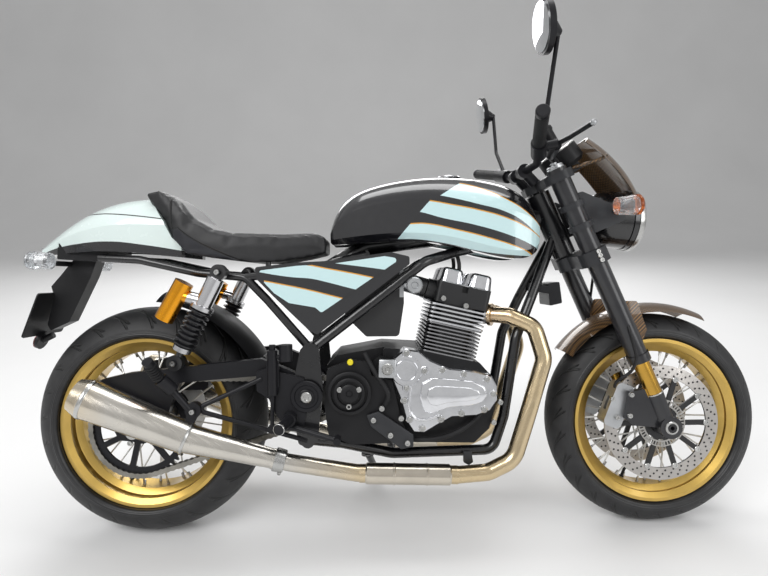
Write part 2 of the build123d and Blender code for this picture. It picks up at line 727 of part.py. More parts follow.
SCREEN = (
    ((1232.0, 1104.0), 86.0, 40.0),
    ((1308.0, 1042.0), 98.0, 46.0),
    ((1370.0, 954.0), 94.0, 44.0),
)
SCREEN_WALL = 3.5
SCREEN_LEAN = (0.672, 0, -0.741)
with BuildPart() as flyscreen:
    for (x, z), half, depth in SCREEN:
        here = Plane((x, 0, z), x_dir=(0, 1, 0), z_dir=SCREEN_LEAN)
        up = 1 if here.y_dir.Z > 0 else -1
        with BuildSketch(here):
            with BuildLine():
                outer = ThreePointArc((-half, -up * depth), (0, 0), (half, -up * depth))
                inner = ThreePointArc(
                    (half - SCREEN_WALL, -up * depth),
                    (0, -up * SCREEN_WALL),
                    (-half + SCREEN_WALL, -up * depth),
                )
                Line(outer @ 1, inner @ 0)
                Line(inner @ 1, outer @ 0)
            make_face()
    loft()
    for edge in (-1, 1):
        rod((1176, edge * 60, 1012), (1240, edge * 78, 1028), 5)
        rod((1240, edge * 78, 1028), (1264, edge * 84, 1040), 5)
    add(headlamp.part, mode=Mode.SUBTRACT)

with BuildPart() as instruments:
    for edge in (-1, 1):
        turned((1182, edge * 46, 1022), (1150, edge * 46, 1064), ((0, 30), (10, 41), (52.8, 41)))
    plate([(1120, 992), (1150, 1022), (1190, 1034), (1204, 1012), (1170, 990)], -60, 60)
    add(yokes.part, mode=Mode.SUBTRACT)
    add(fork_legs.part, mode=Mode.SUBTRACT)
    add(flyscreen.part, mode=Mode.SUBTRACT)

with BuildPart() as brake_hoses:
    for edge in (-1, 1):
        tube(
            [
                steer_point(FORK_OFFSET + 34, edge * 30, LOWER_YOKE_W[0] - 6),
                steer_point(FORK_OFFSET + 40, edge * 62, LOWER_YOKE_W[0] - 60),
                steer_point(FORK_OFFSET - 6, edge * 140, LOWER_YOKE_W[0] - 200),
                steer_point(FORK_OFFSET - 24, edge * 142, FORK_LIP_W - 20),
                (CALIPER[0] - 22, edge * 118, CALIPER[1] + 76),
                (CALIPER[0] - 12, edge * 96, CALIPER[1] + 52),
            ],
            [24, 60, 60, 40],
            4,
        )
    tube(
        [
            steer_point(FORK_OFFSET + 34, 0, LOWER_YOKE_W[0] - 2),
            steer_point(FORK_OFFSET + 27, -12, LOWER_YOKE_W[0] + 60),
            steer_point(FORK_OFFSET + 28, -56, LOWER_YOKE_W[0] + 150),
            steer_point(FORK_OFFSET + 27, -78, UPPER_YOKE_W[0] - 10),
            steer_point(FORK_OFFSET + 18, -96, UPPER_YOKE_W[1] + 30),
            (1100, -112, 1034),
        ],
        [34, 60, 60, 24],
        4,
    )
    with BuildSketch(steer_plane(LOWER_YOKE_W[0] - 14, FORK_OFFSET + 34)):
        RectangleRounded(22, 76, 4)
    extrude(amount=14)
    add(yokes.part, mode=Mode.SUBTRACT)
    add(front_calipers.part, mode=Mode.SUBTRACT)
    add(hand_controls.part, mode=Mode.SUBTRACT)
    add(fork_legs.part, mode=Mode.SUBTRACT)

# Main frame
with BuildPart() as main_frame:
    with BuildSketch(steer_plane(HEAD_W[0])):
        Circle(HEAD_R)
    extrude(amount=HEAD_W[1] - HEAD_W[0])
    tube([(1098, 0, 880), (940, 0, 842), (600, 0, 798), (474, 0, 720)], 70, BACKBONE_R)
    for edge in (-1, 1):
        tube(
            [
                (1136, edge * 12, 812),
                (1058, edge * 60, 645),
                (1012, edge * 76, 540),
                (977, edge * 82, 325),
                (944, edge * 90, 236),
                (668, edge * 96, 232),
                (535, edge * 116, 268),
                (LOWER_BOLT[0], edge * 138, LOWER_BOLT[1]),
            ],
            [60, 60, 60, 36, 60, 60],
            TUBE_R,
        )
        tube(
            [
                (1090, edge * 24, 842),
                (960, edge * 38, 802),
                (856, edge * 44, 780),
                (760, edge * 104, 752),
                FRAME_NODE[:1] + (edge * FRAME_NODE[1],) + FRAME_NODE[2:],
            ],
            [90, 50, 50],
            TUBE_R,
        )
        tube(
            [
                (FRAME_NODE[0], edge * FRAME_NODE[1], FRAME_NODE[2]),
                (342, edge * 122, 650),
                (282, edge * 117, 712),
                (158, edge * 112, 724),
                (0, edge * 104, 760),
                (-112, edge * 88, 766),
            ],
            [80, 40, 60, 60],
            RAIL_R,
        )
        tube([(282, edge * 117, 712), (430, edge * 92, 728), (600, edge * 50, 774)], 60, RAIL_R)
        near = min(edge * (FRAME_NODE[1] - 14), edge * PLATE_Y[1])
        far = max(edge * (FRAME_NODE[1] - 14), edge * PLATE_Y[1])
        disc(FRAME_NODE[0], FRAME_NODE[2], 21, near, far)
        disc(LOWER_BOLT[0], LOWER_BOLT[1], 17, near, far)
        near = min(edge * PLATE_Y[0], edge * PLATE_Y[1])
        far = max(edge * PLATE_Y[0], edge * PLATE_Y[1])
        plate(
            [(430, 524), (446, 542), (478, 530), (488, 420), (474, 288), (450, 266), (424, 280), (404, 400)],
            near,
            far,
            8,
        )
        disc(227, 725, 12, min(edge * 112, edge * 178), max(edge * 112, edge * 178))
        rod((340, edge * 102, 718), (340, edge * 102, SEAT_BASE_Z - FIT), 7)
        near = min(edge * PLATE_Y[1], edge * (PLATE_Y[1] + 11))
        far = max(edge * PLATE_Y[1], edge * (PLATE_Y[1] + 11))
        disc(PIVOT[0], PIVOT[1], 34, near, far)
    for x, z, half in ((-96, 765, 86), (158, 724, 108), (668, 233, 94), (600, 774, 50)):
        disc(x, z, RAIL_R, -half, half)
    disc(470, 722, RAIL_R, -84, 84)
    disc(960, 850, 10, FIT - TUNNEL_HALF_W, TUNNEL_HALF_W - FIT)
    disc(620, 822, 10, FIT - TUNNEL_HALF_W, TUNNEL_HALF_W - FIT)
    lug = STAND_PIVOT + STAND_AXIS * 13
    rod((lug.X, lug.Y, lug.Z + 6), (lug.X, lug.Y, 246), 10)
    with BuildSketch(Plane(STAND_PIVOT + STAND_AXIS * (STAND_EYE / 2 + 1), z_dir=STAND_AXIS)):
        Circle(STAND_PIN_R + 7)
    extrude(amount=8)
    with BuildSketch(Plane(STAND_PIVOT - STAND_AXIS * (STAND_EYE / 2 + 3), z_dir=STAND_AXIS)):
        Circle(STAND_PIN_R)
    extrude(amount=STAND_EYE + 8)
    with BuildSketch(steer_plane(HEAD_W[0] - 10)):
        Circle(STEER_STEM_R + FIT)
    extrude(amount=HEAD_W[1] - HEAD_W[0] + 20, mode=Mode.SUBTRACT)

# Swingarm: box arms that rise over the chain, with a deep plate at the axle
with BuildPart() as swingarm:
    for edge in (-1, 1):
        near = min(edge * ARM_Y[0], edge * ARM_Y[1])
        far = max(edge * ARM_Y[0], edge * ARM_Y[1])
        plate(
            [
                (478, 430), (452, 444), (400, 470), (328, 500), (122, 480), (-14, 466),
                (-84, 450), (-96, 420), (-40, 292), (36, 286), (74, 330), (118, 440),
                (322, 456), (396, 420), (410, 384), (440, 368), (474, 376),
            ],
            near,
            far,
            6,
        )
        disc(114, 495, 15, near, far)
        plate([(90, 470), (99, 497), (129, 497), (140, 470)], near, far)
        disc(114, 495, 9, min(edge * ARM_Y[1], edge * 178), max(edge * ARM_Y[1], edge * 178))
    disc_cut(REAR[0], REAR[1], AXLE_R, -ARM_Y[1], ARM_Y[1])
    disc_cut(PIVOT[0], PIVOT[1], PIVOT_R + FIT, -ARM_Y[1], ARM_Y[1])
    disc(PIVOT[0], PIVOT[1], PIVOT_TUBE_R, -ARM_Y[0] + FIT, ARM_Y[0] - FIT)
    disc(PIVOT[0], PIVOT[1], PIVOT_R, -PLATE_Y[0], PLATE_Y[0])

# Engine: plain crankcase with its real covers
with BuildPart() as crankcase:
    plate(
        [
            (645, 520), (652, 300), (640, 268), (890, 262), (930, 300), (946, 360), (948, 430),
            (905, 478), (745, 514),
        ],
        -CASE_HALF_W,
        CASE_HALF_W,
        6,
    )
    plate(
        [
            (492, 470), (520, 498), (645, 520), (700, 516), (700, 268), (640, 268), (560, 276),
            (502, 300),
        ],
        CHAIN_Y + CHAIN_W,
        CASE_HALF_W,
        6,
    )
    disc(640, 478, 22, -CASE_HALF_W - 12, CHAIN_Y + CHAIN_W + 1)
    disc(FRONT_SPROCKET[0], FRONT_SPROCKET[1], 15, CHAIN_Y - 8, CHAIN_Y + CHAIN_W + 1)
    sprocket(FRONT_SPROCKET[0], FRONT_SPROCKET[1], FRONT_SPROCKET_R, 0, 0, 0, 0)
    plate(
        [
            (520, 470), (620, 500), (760, 486), (900, 462), (938, 400), (900, 320), (760, 300),
            (600, 290), (520, 330),
        ],
        CASE_HALF_W - 1,
        160,
        24,
    )
    disc(836, 392, 62, 158, 168)
    disc(610, 396, 56, 158, 166)

with BuildPart() as sprocket_cover:
    plate(
        [
            (498, 470), (560, 494), (604, 490), (614, 452), (668, 440), (690, 340), (706, 300), (690, 276),
            (560, 272), (500, 300), (490, 380),
        ],
        CHAIN_Y - CHAIN_W / 2 - 30,
        CHAIN_Y - CHAIN_W / 2 - 5,
        8,
    )
    disc(556, 408, 56, CHAIN_Y - CHAIN_W / 2 - 38, CHAIN_Y - CHAIN_W / 2 - 28)
    disc(556, 408, 40, CHAIN_Y - CHAIN_W / 2 - 42, CHAIN_Y - CHAIN_W / 2 - 36)
    for x, z in ((656, 426), (664, 292)):
        disc(x, z, 9, CHAIN_Y - CHAIN_W / 2 - 6, -CASE_HALF_W)

TIMING_COVER_Y = 166.0
TIMING_COVER_EDGE = 6.0
with BuildPart() as timing_cover:
    plate(
        [
            (672, 500), (700, 524), (736, 518), (766, 494), (816, 472), (884, 464), (926, 452),
            (940, 424), (940, 388), (922, 362), (886, 349), (822, 346), (784, 326), (750, 306),
            (722, 308), (704, 336), (690, 390), (670, 440),
        ],
        -TIMING_COVER_Y,
        -CASE_HALF_W,
        5,
    )
    chamfer(timing_cover.faces().sort_by(Axis.Y)[0].edges(), TIMING_COVER_EDGE, TIMING_COVER_EDGE / 2)
    disc(704, 468, 40, -TIMING_COVER_Y - 6, -TIMING_COVER_Y + 6)
    chamfer(timing_cover.faces().sort_by(Axis.Y)[0].edges(), 2)

cylinder_frame = Plane(
    (CYLINDER_FOOT[0], 0, CYLINDER_FOOT[1]),
    x_dir=(cos(radians(CYLINDER_TILT)), 0, -sin(radians(CYLINDER_TILT))),
    z_dir=(sin(radians(CYLINDER_TILT)), 0, cos(radians(CYLINDER_TILT))),
)
fin_pitch = BARREL_H / FIN_COUNT
with BuildPart() as cylinder_barrel:
    with BuildSketch(cylinder_frame.offset(-16)):
        RectangleRounded(2 * BORE_HALF_X, 2 * (FIN_HALF_Y - 14), 40)
    extrude(amount=BARREL_H + 16)
    for i in range(FIN_COUNT):
        with BuildSketch(cylinder_frame.offset(fin_pitch * (i + 0.7))):
            RectangleRounded(2 * FIN_HALF_X, 2 * FIN_HALF_Y, 16)
        extrude(amount=FIN_WALL)
    add(crankcase.part, mode=Mode.SUBTRACT)

with BuildPart() as cylinder_head:
    with BuildSketch(cylinder_frame.offset(BARREL_H)):
        RectangleRounded(2 * BORE_HALF_X, 2 * (FIN_HALF_Y - 14), 36)
    extrude(amount=HEAD_FIN_PITCH * HEAD_FINS)
    with BuildSketch(cylinder_frame.offset(BARREL_H + HEAD_FIN_PITCH * HEAD_FINS)):
        with Locations((4, 0)):
            RectangleRounded(2 * FIN_HALF_X - 4, 2 * (FIN_HALF_Y - 8), 12)
    extrude(amount=HEAD_H - HEAD_FIN_PITCH * HEAD_FINS)
    for i in range(HEAD_FINS):
        with BuildSketch(cylinder_frame.offset(BARREL_H + HEAD_FIN_PITCH * (i + 0.15))):
            RectangleRounded(2 * FIN_HALF_X + 4, 2 * FIN_HALF_Y, 14)
        extrude(amount=HEAD_FIN_WALL)
    for edge in (-1, 1):
        with BuildSketch(cylinder_frame.offset(BARREL_H + HEAD_H - 20)):
            with Locations((6, edge * (FIN_HALF_Y - 6))):
                Rectangle(16, 40)
        extrude(amount=20, mode=Mode.SUBTRACT)
    for edge in (-1, 1):
        port = Vector(HEADER[0][0], edge * HEADER[0][1], HEADER[0][2])
        bend = Vector(HEADER[1][0], edge * HEADER[1][1], HEADER[1][2])
        rod(tuple(port - (bend - port).normalized() * 60), tuple(port), 27)
        rod((800, edge * 48, 668), (768, edge * 48, 678), 30)
        with BuildSketch(Plane(tuple(port), z_dir=tuple(bend - port))):
            Circle(HEADER_R + 9.5)
        extrude(amount=30, mode=Mode.SUBTRACT)
    add(cylinder_barrel.part, mode=Mode.SUBTRACT)

ROCKER_COVER_H = 40.0
ROCKER_COVER_EDGE = 12.0
with BuildPart() as rocker_covers:
    for edge in (-1, 1):
        with BuildSketch(cylinder_frame.offset(BARREL_H + HEAD_H)):
            with Locations((-34, edge * 52), (46, edge * 52)):
                RectangleRounded(66, 92, ROCKER_COVER_EDGE + 8)
        extrude(amount=ROCKER_COVER_H, taper=8)
    crowns = rocker_covers.faces().group_by(Axis(cylinder_frame.origin, cylinder_frame.z_dir))[-1]
    fillet([edge for crown in crowns for edge in crown.edges()], ROCKER_COVER_EDGE)

# Intake
with BuildPart() as intake:
    for edge in (-1, 1):
        rod((766, edge * 48, 678.6), (706, edge * 48, 698), 27)
        disc(734, 688, 21, min(edge * 46, edge * 96), max(edge * 46, edge * 96))

    plate(
        [(548, 600), (600, 548), (690, 548), (704, 640), (702, 770), (560, 770), (500, 700)],
        -82,
        82,
        12,
    )
    add(main_frame.part, mode=Mode.SUBTRACT)
    add(cylinder_head.part, mode=Mode.SUBTRACT)

# Exhaust, one side
def exhaust(edge):
    """Add one header, collector and muffler."""
    route = [Vector(x, edge * y, z) for x, y, z in HEADER]
    tube([tuple(point) for point in route], HEADER_BENDS, HEADER_R)
    out = (route[1] - route[0]).normalized()
    rod(tuple(route[0]), tuple(route[0] + out * 9), HEADER_R + 9)
    rod(tuple(route[7]), tuple(route[8]), COLLECTOR_R)
    joint, waist, end = [Vector(x, edge * y, z) for x, y, z in MUFFLER]
    cone = (waist - joint).normalized()
    body = (end - waist).normalized()
    rod(tuple(joint - cone * 6), tuple(joint + cone * 20), HEADER_R + 4)
    rod(tuple(joint), tuple(waist + cone * 6), MUFFLER_R[0], MUFFLER_R[1] - 3)
    rod(tuple(waist), tuple(end), MUFFLER_R[1], MUFFLER_R[2])
    tip = end + body * 26
    rod(tuple(end), tuple(tip), MUFFLER_R[2], 40)
    with BuildSketch(Plane(tip, z_dir=-body)) as mouth_hole:
        Circle(30)
    extrude(mouth_hole.sketch, amount=60, mode=Mode.SUBTRACT)


with BuildPart() as exhaust_right:
    exhaust(-1)

with BuildPart() as exhaust_left:
    exhaust(1)

# Fuel tank: sections across, with a tunnel over the backbone
TANK = (
    (504.0, 800.0, 846.0, 70.0),
    (548.0, 800.0, 926.0, 98.0),
    (650.0, 806.0, 970.0, 118.0),
    (810.0, 798.0, 989.0, 128.0),
    (940.0, 768.0, 978.0, 128.0),
    (1030.0, 760.0, 944.0, 118.0),
    (1074.0, 786.0, 880.0, 96.0),
)


def tank_section(x, low, high, half):
    """One section across the tank: flat floor, upright sides, arched top."""
    shoulder = low + 0.62 * (high - low)
    scale = half / TANK[3][3]
    with BuildSketch(Plane.YZ.offset(x)) as section:
        with BuildLine():
            Polyline(
                (-half, shoulder),
                (-half + 4 * scale, low + 22 * scale),
                (-half + 24 * scale, low),
                (half - 24 * scale, low),
                (half - 4 * scale, low + 22 * scale),
                (half, shoulder),
            )
            ThreePointArc(
                (half, shoulder),
                (half * 0.72, shoulder + 0.70 * (high - shoulder)),
                (half * 0.30, high - 2),
            )
            ThreePointArc((half * 0.30, high - 2), (0, high), (-half * 0.30, high - 2))
            ThreePointArc(
                (-half * 0.30, high - 2),
                (-half * 0.72, shoulder + 0.70 * (high - shoulder)),
                (-half, shoulder),
            )
        make_face()
    return section.sketch.face()


with BuildPart() as fuel_tank:
    loft([tank_section(x, low, high, half) for x, low, high, half in TANK])
    with BuildSketch(side(TUNNEL_HALF_W)):
        with BuildLine():
            Polyline(
                (480, 700), (480, 858), (600, 866), (940, 892), (1130, 916), (1130, 700), close=True
            )
        make_face()
    extrude(amount=2 * TUNNEL_HALF_W, mode=Mode.SUBTRACT)
    with BuildSketch(Plane.XY.offset(986)):
        with Locations((840, 0)):
            Circle(33)
    extrude(amount=8)

# Seat: a cushion that rises into a stop in front of the tail
SEAT_BACK = [(14, 938), (68, 862), (88, 820), (128, 776)]
with BuildPart() as seat:
    with BuildSketch(side(SEAT_HALF_W)):
        with BuildLine():
            Polyline(
                (492, 818), (478, 827), (377, 821), (243, 823), (192, 834), (142, 862), (100, 912),
                (52, 944), *SEAT_BACK, (193, SEAT_BASE_Z + 12), (290, SEAT_BASE_Z),
                (366, SEAT_BASE_Z), (439, SEAT_BASE_Z + 12), (492, 776),
                close=True,
            )
        make_face()
    extrude(amount=2 * SEAT_HALF_W)
    with BuildSketch(Plane.XY.offset(700)):
        with BuildLine():
            Polyline(
                (500, 74), (360, 104), (230, SEAT_HALF_W), (120, SEAT_HALF_W), (0, 96),
                (0, -96), (120, -SEAT_HALF_W), (230, -SEAT_HALF_W), (360, -104), (500, -74),
                close=True,
            )
        make_face()
    extrude(amount=300, mode=Mode.INTERSECT)
    add(fuel_tank.part, mode=Mode.SUBTRACT)

COWL = (
    (110.0, 766.0, 936.0, 108.0),
    (20.0, 776.0, 930.0, COWL_HALF_W),
    (-80.0, 783.0, 918.0, 112.0),
    (-190.0, 781.0, 872.0, 88.0),
    (-292.0, 772.0, 802.0, 44.0),
)
with BuildPart() as tail_cowl:
    for x, low, high, half in COWL:
        mid = low + 0.5 * (high - low)
        with BuildSketch(Plane.YZ.offset(x)):
            with BuildLine():
                Polyline((-half, mid), (-half + 8, low), (half - 8, low), (half, mid))
                ThreePointArc((half, mid), (half * 0.66, mid + 0.78 * (high - mid)), (0, high))
                ThreePointArc((0, high), (-half * 0.66, mid + 0.78 * (high - mid)), (-half, mid))
            make_face()
    loft()
    with BuildSketch(side(200)):
        with BuildLine():
            Polyline(
                *[(x - SEAT_GAP, z) for x, z in SEAT_BACK],
                (150, 700), (400, 700), (400, 1000), (14 - SEAT_GAP - 44, 1000),
                close=True,
            )
        make_face()
    extrude(amount=400, mode=Mode.SUBTRACT)
    with BuildSketch(side(74)):
        with BuildLine():
            Polyline((-230, 700), (-230, 806), (-20, 836), (160, 836), (160, 700), close=True)
        make_face()
    extrude(amount=148, mode=Mode.SUBTRACT)

with BuildPart() as side_panels:
    for edge in (-1, 1):
        near = min(edge * 122, edge * 136)
        far = max(edge * 122, edge * 136)
        plate(
            [(310, 738), (421, 750), (507, 754), (667, 776), (716, 764), (716, 744), (472, 560), (450, 572), (358, 662), (318, 704)],
            near,
            far,
            7,
        )
        plate(
            [(322, 729), (421, 741), (507, 745), (650, 765), (692, 758), (484, 618), (468, 632), (400, 644), (362, 670), (328, 706)],
            min(edge * 134, edge * 142),
            max(edge * 134, edge * 142),
            7,
        )
    add(main_frame.part, mode=Mode.SUBTRACT)

# Twin shocks with piggyback reservoirs
SHOCK_TOP = (227.0, 725.0)
SHOCK_FOOT = (114.0, 495.0)
SHOCK_Y = 166.0
shock_length = hypot(SHOCK_TOP[0] - SHOCK_FOOT[0], SHOCK_TOP[1] - SHOCK_FOOT[1])
COIL_R = 29.0
COIL_COUNT = 8
with BuildPart() as shocks:
    for edge in (-1, 1):
        along = Plane(
            (SHOCK_FOOT[0], edge * SHOCK_Y, SHOCK_FOOT[1]),
            x_dir=(0, 1, 0),
            z_dir=(SHOCK_TOP[0] - SHOCK_FOOT[0], 0, SHOCK_TOP[1] - SHOCK_FOOT[1]),
        )
        spring_low = 46.0
        spring_high = 152.0
        coil = (spring_high - spring_low) / COIL_COUNT
        section = Plane(along.origin, x_dir=along.x_dir, z_dir=along.y_dir)
        up = 1 if (section.y_dir.Z > 0) else -1
        with BuildSketch(section):
            with BuildLine():
                points = [(0, up * 18), (9, up * 18), (9, up * 34), (24, up * 34), (24, up * spring_low)]
                for i in range(COIL_COUNT):
                    low = spring_low + i * coil
                    points += [(19, up * (low + 1)), (COIL_R, up * (low + 0.38 * coil)), (COIL_R, up * (low + 0.62 * coil)), (19, up * (low + coil - 1))]
                points += [(30, up * spring_high), (30, up * (spring_high + 10)), (22, up * (spring_high + 12))]
                points += [(22, up * (shock_length - 18)), (0, up * (shock_length - 18))]
                Polyline(*points, close=True)
            make_face()
        revolve(axis=Axis(along.origin, along.z_dir))
        for x, z, hole in ((SHOCK_TOP[0], SHOCK_TOP[1], 12), (SHOCK_FOOT[0], SHOCK_FOOT[1], 9)):
            disc(x, z, 20, edge * SHOCK_Y - 12, edge * SHOCK_Y + 12)
        rod((139, edge * SHOCK_Y, 700), (86, edge * SHOCK_Y, 606), 24)
        rod((122, edge * SHOCK_Y, 668), (190, edge * SHOCK_Y, 650), 17)
    for x, z, hole in ((SHOCK_TOP[0], SHOCK_TOP[1], 12), (SHOCK_FOOT[0], SHOCK_FOOT[1], 9)):
        disc_cut(x, z, hole, -200, 200)

# Tail: number plate hanger, lamp and indicators
with BuildPart() as plate_hanger:
    plate(
        [(-150, 770), (-170, 716), (-232, 590), (-284, 566), (-292, 584), (-272, 662), (-280, 690), (-252, 722), (-206, 778)],
        -24,
        24,
        5,
    )
    holder = Plane((-296, 0, 612), x_dir=(0, 1, 0), z_dir=(-0.93, 0, 0.36))
    with BuildSketch(holder):
        RectangleRounded(184, 128, 8)
    extrude(amount=4)
    rod((-318, 0, 536), (-328, 0, 540), 26)
    rod((-290, 0, 552), (-320, 0, 537), 9)
    disc(-226, 752, 7, -127.2, 127.2)
    plate([(-232, 806), (-236, 764), (-150, 758), (-98, 758), (-98, 790), (-128, 806)], -70, 70, 4)
    add(main_frame.part, mode=Mode.SUBTRACT)
    add(tail_cowl.part, mode=Mode.SUBTRACT)

with BuildPart() as rear_lamps:
    for edge in (-1, 1):
        turned((-204, edge * 150, 756), (-257, edge * 150, 758.5), ((0, 21), (42, 24), (53, 17)))
    with BuildSketch(Plane((-284, 0, 790), x_dir=(0, 1, 0), z_dir=(-0.96, 0, -0.2))):
        RectangleRounded(78, 17, 7)
    extrude(amount=11)
    add(tail_cowl.part, mode=Mode.SUBTRACT)
    add(plate_hanger.part, mode=Mode.SUBTRACT)

with BuildPart() as rear_mudguard:
    guard(REAR, 360, 334, 88, 3.5, 26, 84)
    plate([(300, 440), (318, 500), (350, 476), (336, 430)], -86, 86, 4)
    with BuildSketch(side(100)):
        with Locations((REAR[0], REAR[1])):
            Circle(331)
    extrude(amount=200, mode=Mode.SUBTRACT)
    for edge in (-1, 1):
        disc(326, 478, 8, min(edge * 80, edge * ARM_Y[0]), max(edge * 80, edge * ARM_Y[0]))

# Footrest hangers, pegs, gear and brake pedals
PEG_R = 13.0


def hanger(edge):
    """Add one hanger: footrest plate, peg and passenger stay with its peg."""
    near = min(edge * PLATE_Y[1], edge * (PLATE_Y[1] + 9))
    far = max(edge * PLATE_Y[1], edge * (PLATE_Y[1] + 9))
    plate(
        [(318, 470), (342, 478), (440, 452), (452, 400), (440, 330), (404, 320), (372, 352), (350, 400), (320, 420)],
        near,
        far,
        6,
    )
    rod((405, edge * (PLATE_Y[1] + 8), 352), (405, edge * 196, 351), 17)
    rod((405, edge * 196, 351), (391, edge * 262, 346), PEG_R)
    tube(
        [(332, edge * (PLATE_Y[1] + 7), 452), (165, edge * 182, 378), (330, edge * 171, 326), (446, edge * 158, 288)],
        [10, 60],
        6,
    )
    disc(165, 378, 20, min(edge * 172, edge * 194), max(edge * 172, edge * 194))
    rod((160, edge * 186, 372), (110, edge * 196, 438), 9)
    rod((116, edge * 196, 432), (94, edge * 214, 462), 17)
    rod((94, edge * 214, 462), (82, edge * 262, 514), PEG_R)
    plate([(150, 374), (144, 340), (164, 338), (182, 374)], edge * 190 - 3, edge * 190 + 3)


with BuildPart() as hanger_right:
    hanger(-1)
    rod((362, -178, 526), (362, -178, 412), 13)
    rod((362, -178, 414), (360, -178, 330), 5)
    rod((362, -178, 520), (362, -178, 540), 8)
    plate([(346, 500), (346, 430), (378, 430), (378, 500)], -178, -PLATE_Y[1] - 8, 4)
    rod((396, -176, 498), (396, -176, 540), 17)
    rod((362, -178, 512), (396, -176, 504), 6)
    tube([(360, -178, 322), (410, -180, 330), (528, -202, 300)], 60, 8)
    rod((527, -186, 302), (527, -222, 302), 9)
    rod((360, -170, 326), (360, -186, 326), 11)
    add(exhaust_right.part, mode=Mode.SUBTRACT)
    add(main_frame.part, mode=Mode.SUBTRACT)
    add(swingarm.part, mode=Mode.SUBTRACT)
    add(shocks.part, mode=Mode.SUBTRACT)

with BuildPart() as hanger_left:
    hanger(1)
    tube([(405, 176, 330), (430, 182, 322), (534, 204, 322)], 60, 7)
    rod((533, 188, 322), (533, 224, 322), 9)
    add(exhaust_left.part, mode=Mode.SUBTRACT)
    add(main_frame.part, mode=Mode.SUBTRACT)
    add(swingarm.part, mode=Mode.SUBTRACT)
    add(shocks.part, mode=Mode.SUBTRACT)

with BuildPart() as rear_caliper:
    with BuildSketch(side(REAR_DISC_Y + 26)):
        with Locations((78, 400)):
            RectangleRounded(92, 48, 12)
    extrude(amount=52)
    with BuildSketch(side(REAR_DISC_Y + DISC_WALL / 2 + PAD_GAP)):
        with Locations((REAR[0], REAR[1])):
            Circle(REAR_DISC_R + PAD_GAP)
    extrude(amount=DISC_WALL + 2 * PAD_GAP, mode=Mode.SUBTRACT)
    disc(78, 414, 9, REAR_DISC_Y + 24, ARM_Y[0])

with BuildPart() as regulator:
    plate([(1118, 626), (1114, 690), (1146, 694), (1154, 634)], -44, 44, 4)
    plate([(1076, 668), (1078, 690), (1116, 680), (1116, 660)], -48, 48)
    add(main_frame.part, mode=Mode.SUBTRACT)

# Side stand: a straight leg that folds back under the left exhaust pipe
with BuildPart() as side_stand:
    with BuildSketch(Plane(STAND_PIVOT - STAND_AXIS * STAND_EYE / 2, z_dir=STAND_AXIS)):
        Circle(STAND_PIN_R + 11)
    extrude(amount=STAND_EYE)
    leg = STAND_LEG.normalized()
    rod(tuple(STAND_PIVOT + leg * (STAND_PIN_R + 8.5)), tuple(STAND_PIVOT + STAND_LEG), STAND_R)
    ground = Plane(
        (STAND_FOOT[0], STAND_FOOT[1], FOOT_Z),
        x_dir=(1, 0, 0),
        z_dir=(0, -sin(radians(LEAN)), cos(radians(LEAN))),
    )
    with BuildSketch(ground):
        SlotOverall(62, 34)
    extrude(amount=STAND_PAD)
    with BuildSketch(ground.offset(-40)):
        Rectangle(200, 200)
    extrude(amount=40, mode=Mode.SUBTRACT)
    with BuildSketch(Plane(STAND_PIVOT - STAND_AXIS * STAND_EYE, z_dir=STAND_AXIS)):
        Circle(STAND_PIN_R + FIT)
    extrude(amount=2 * STAND_EYE, mode=Mode.SUBTRACT)

# The parked place: leaned, on the floor, with the origin under its middle
pieces = {
    "main_frame": main_frame,
    "swingarm": swingarm,
    "crankcase": crankcase,
    "cylinder_barrel": cylinder_barrel,
    "cylinder_head": cylinder_head,
    "rocker_covers": rocker_covers,
    "timing_cover": timing_cover,
    "sprocket_cover": sprocket_cover,
    "intake": intake,
    "exhaust_right": exhaust_right,
    "exhaust_left": exhaust_left,
    "fuel_tank": fuel_tank,
    "seat": seat,
    "tail_cowl": tail_cowl,
    "side_panels": side_panels,
    "shocks": shocks,
    "plate_hanger": plate_hanger,
    "rear_lamps": rear_lamps,
    "rear_mudguard": rear_mudguard,
    "hanger_right": hanger_right,
    "hanger_left": hanger_left,
    "chain": chain,
    "rear_axle": rear_axle,
    "rear_caliper": rear_caliper,
    "regulator": regulator,
    "yokes": yokes,
    "fork_legs": fork_legs,
    "handlebar": handlebar,
    "grips": grips,
    "hand_controls": hand_controls,
    "mirrors": mirrors,
    "headlamp": headlamp,
    "flyscreen": flyscreen,
    "instruments": instruments,
    "front_indicators": front_indicators,
    "front_mudguard": front_mudguard,
    "front_calipers": front_calipers,
    "brake_hoses": brake_hoses,
    "front_tyre": front_tyre,
    "front_wheel": front_wheel,
    "front_discs": front_discs,
    "rear_tyre": rear_tyre,
    "rear_wheel": rear_wheel,
    "rear_sprocket": rear_sprocket,
    "side_stand": side_stand,
}
leaned = [piece.part.moved(PARK).bounding_box() for piece in pieces.values()]
low_x = min(box.min.X for box in leaned)
high_x = max(box.max.X for box in leaned)
low_y = min(box.min.Y for box in leaned)
high_y = max(box.max.Y for box in leaned)
SHIFT = (-(low_x + high_x) / 2, -(low_y + high_y) / 2, REAR_CROWN * LEAN_DROP)
PARK = Location(SHIFT, (-LEAN, 0, 0))
for name, piece in pieces.items():
    save(piece, name)
print("shift", SHIFT, "box", low_x, high_x, low_y, high_y)
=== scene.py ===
"""Looks of a parallel-twin cafe racer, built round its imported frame."""

import logging
import math
from dataclasses import dataclass
from enum import Enum
from typing import Iterable, Sequence

import bpy
from mathutils import Matrix, Vector


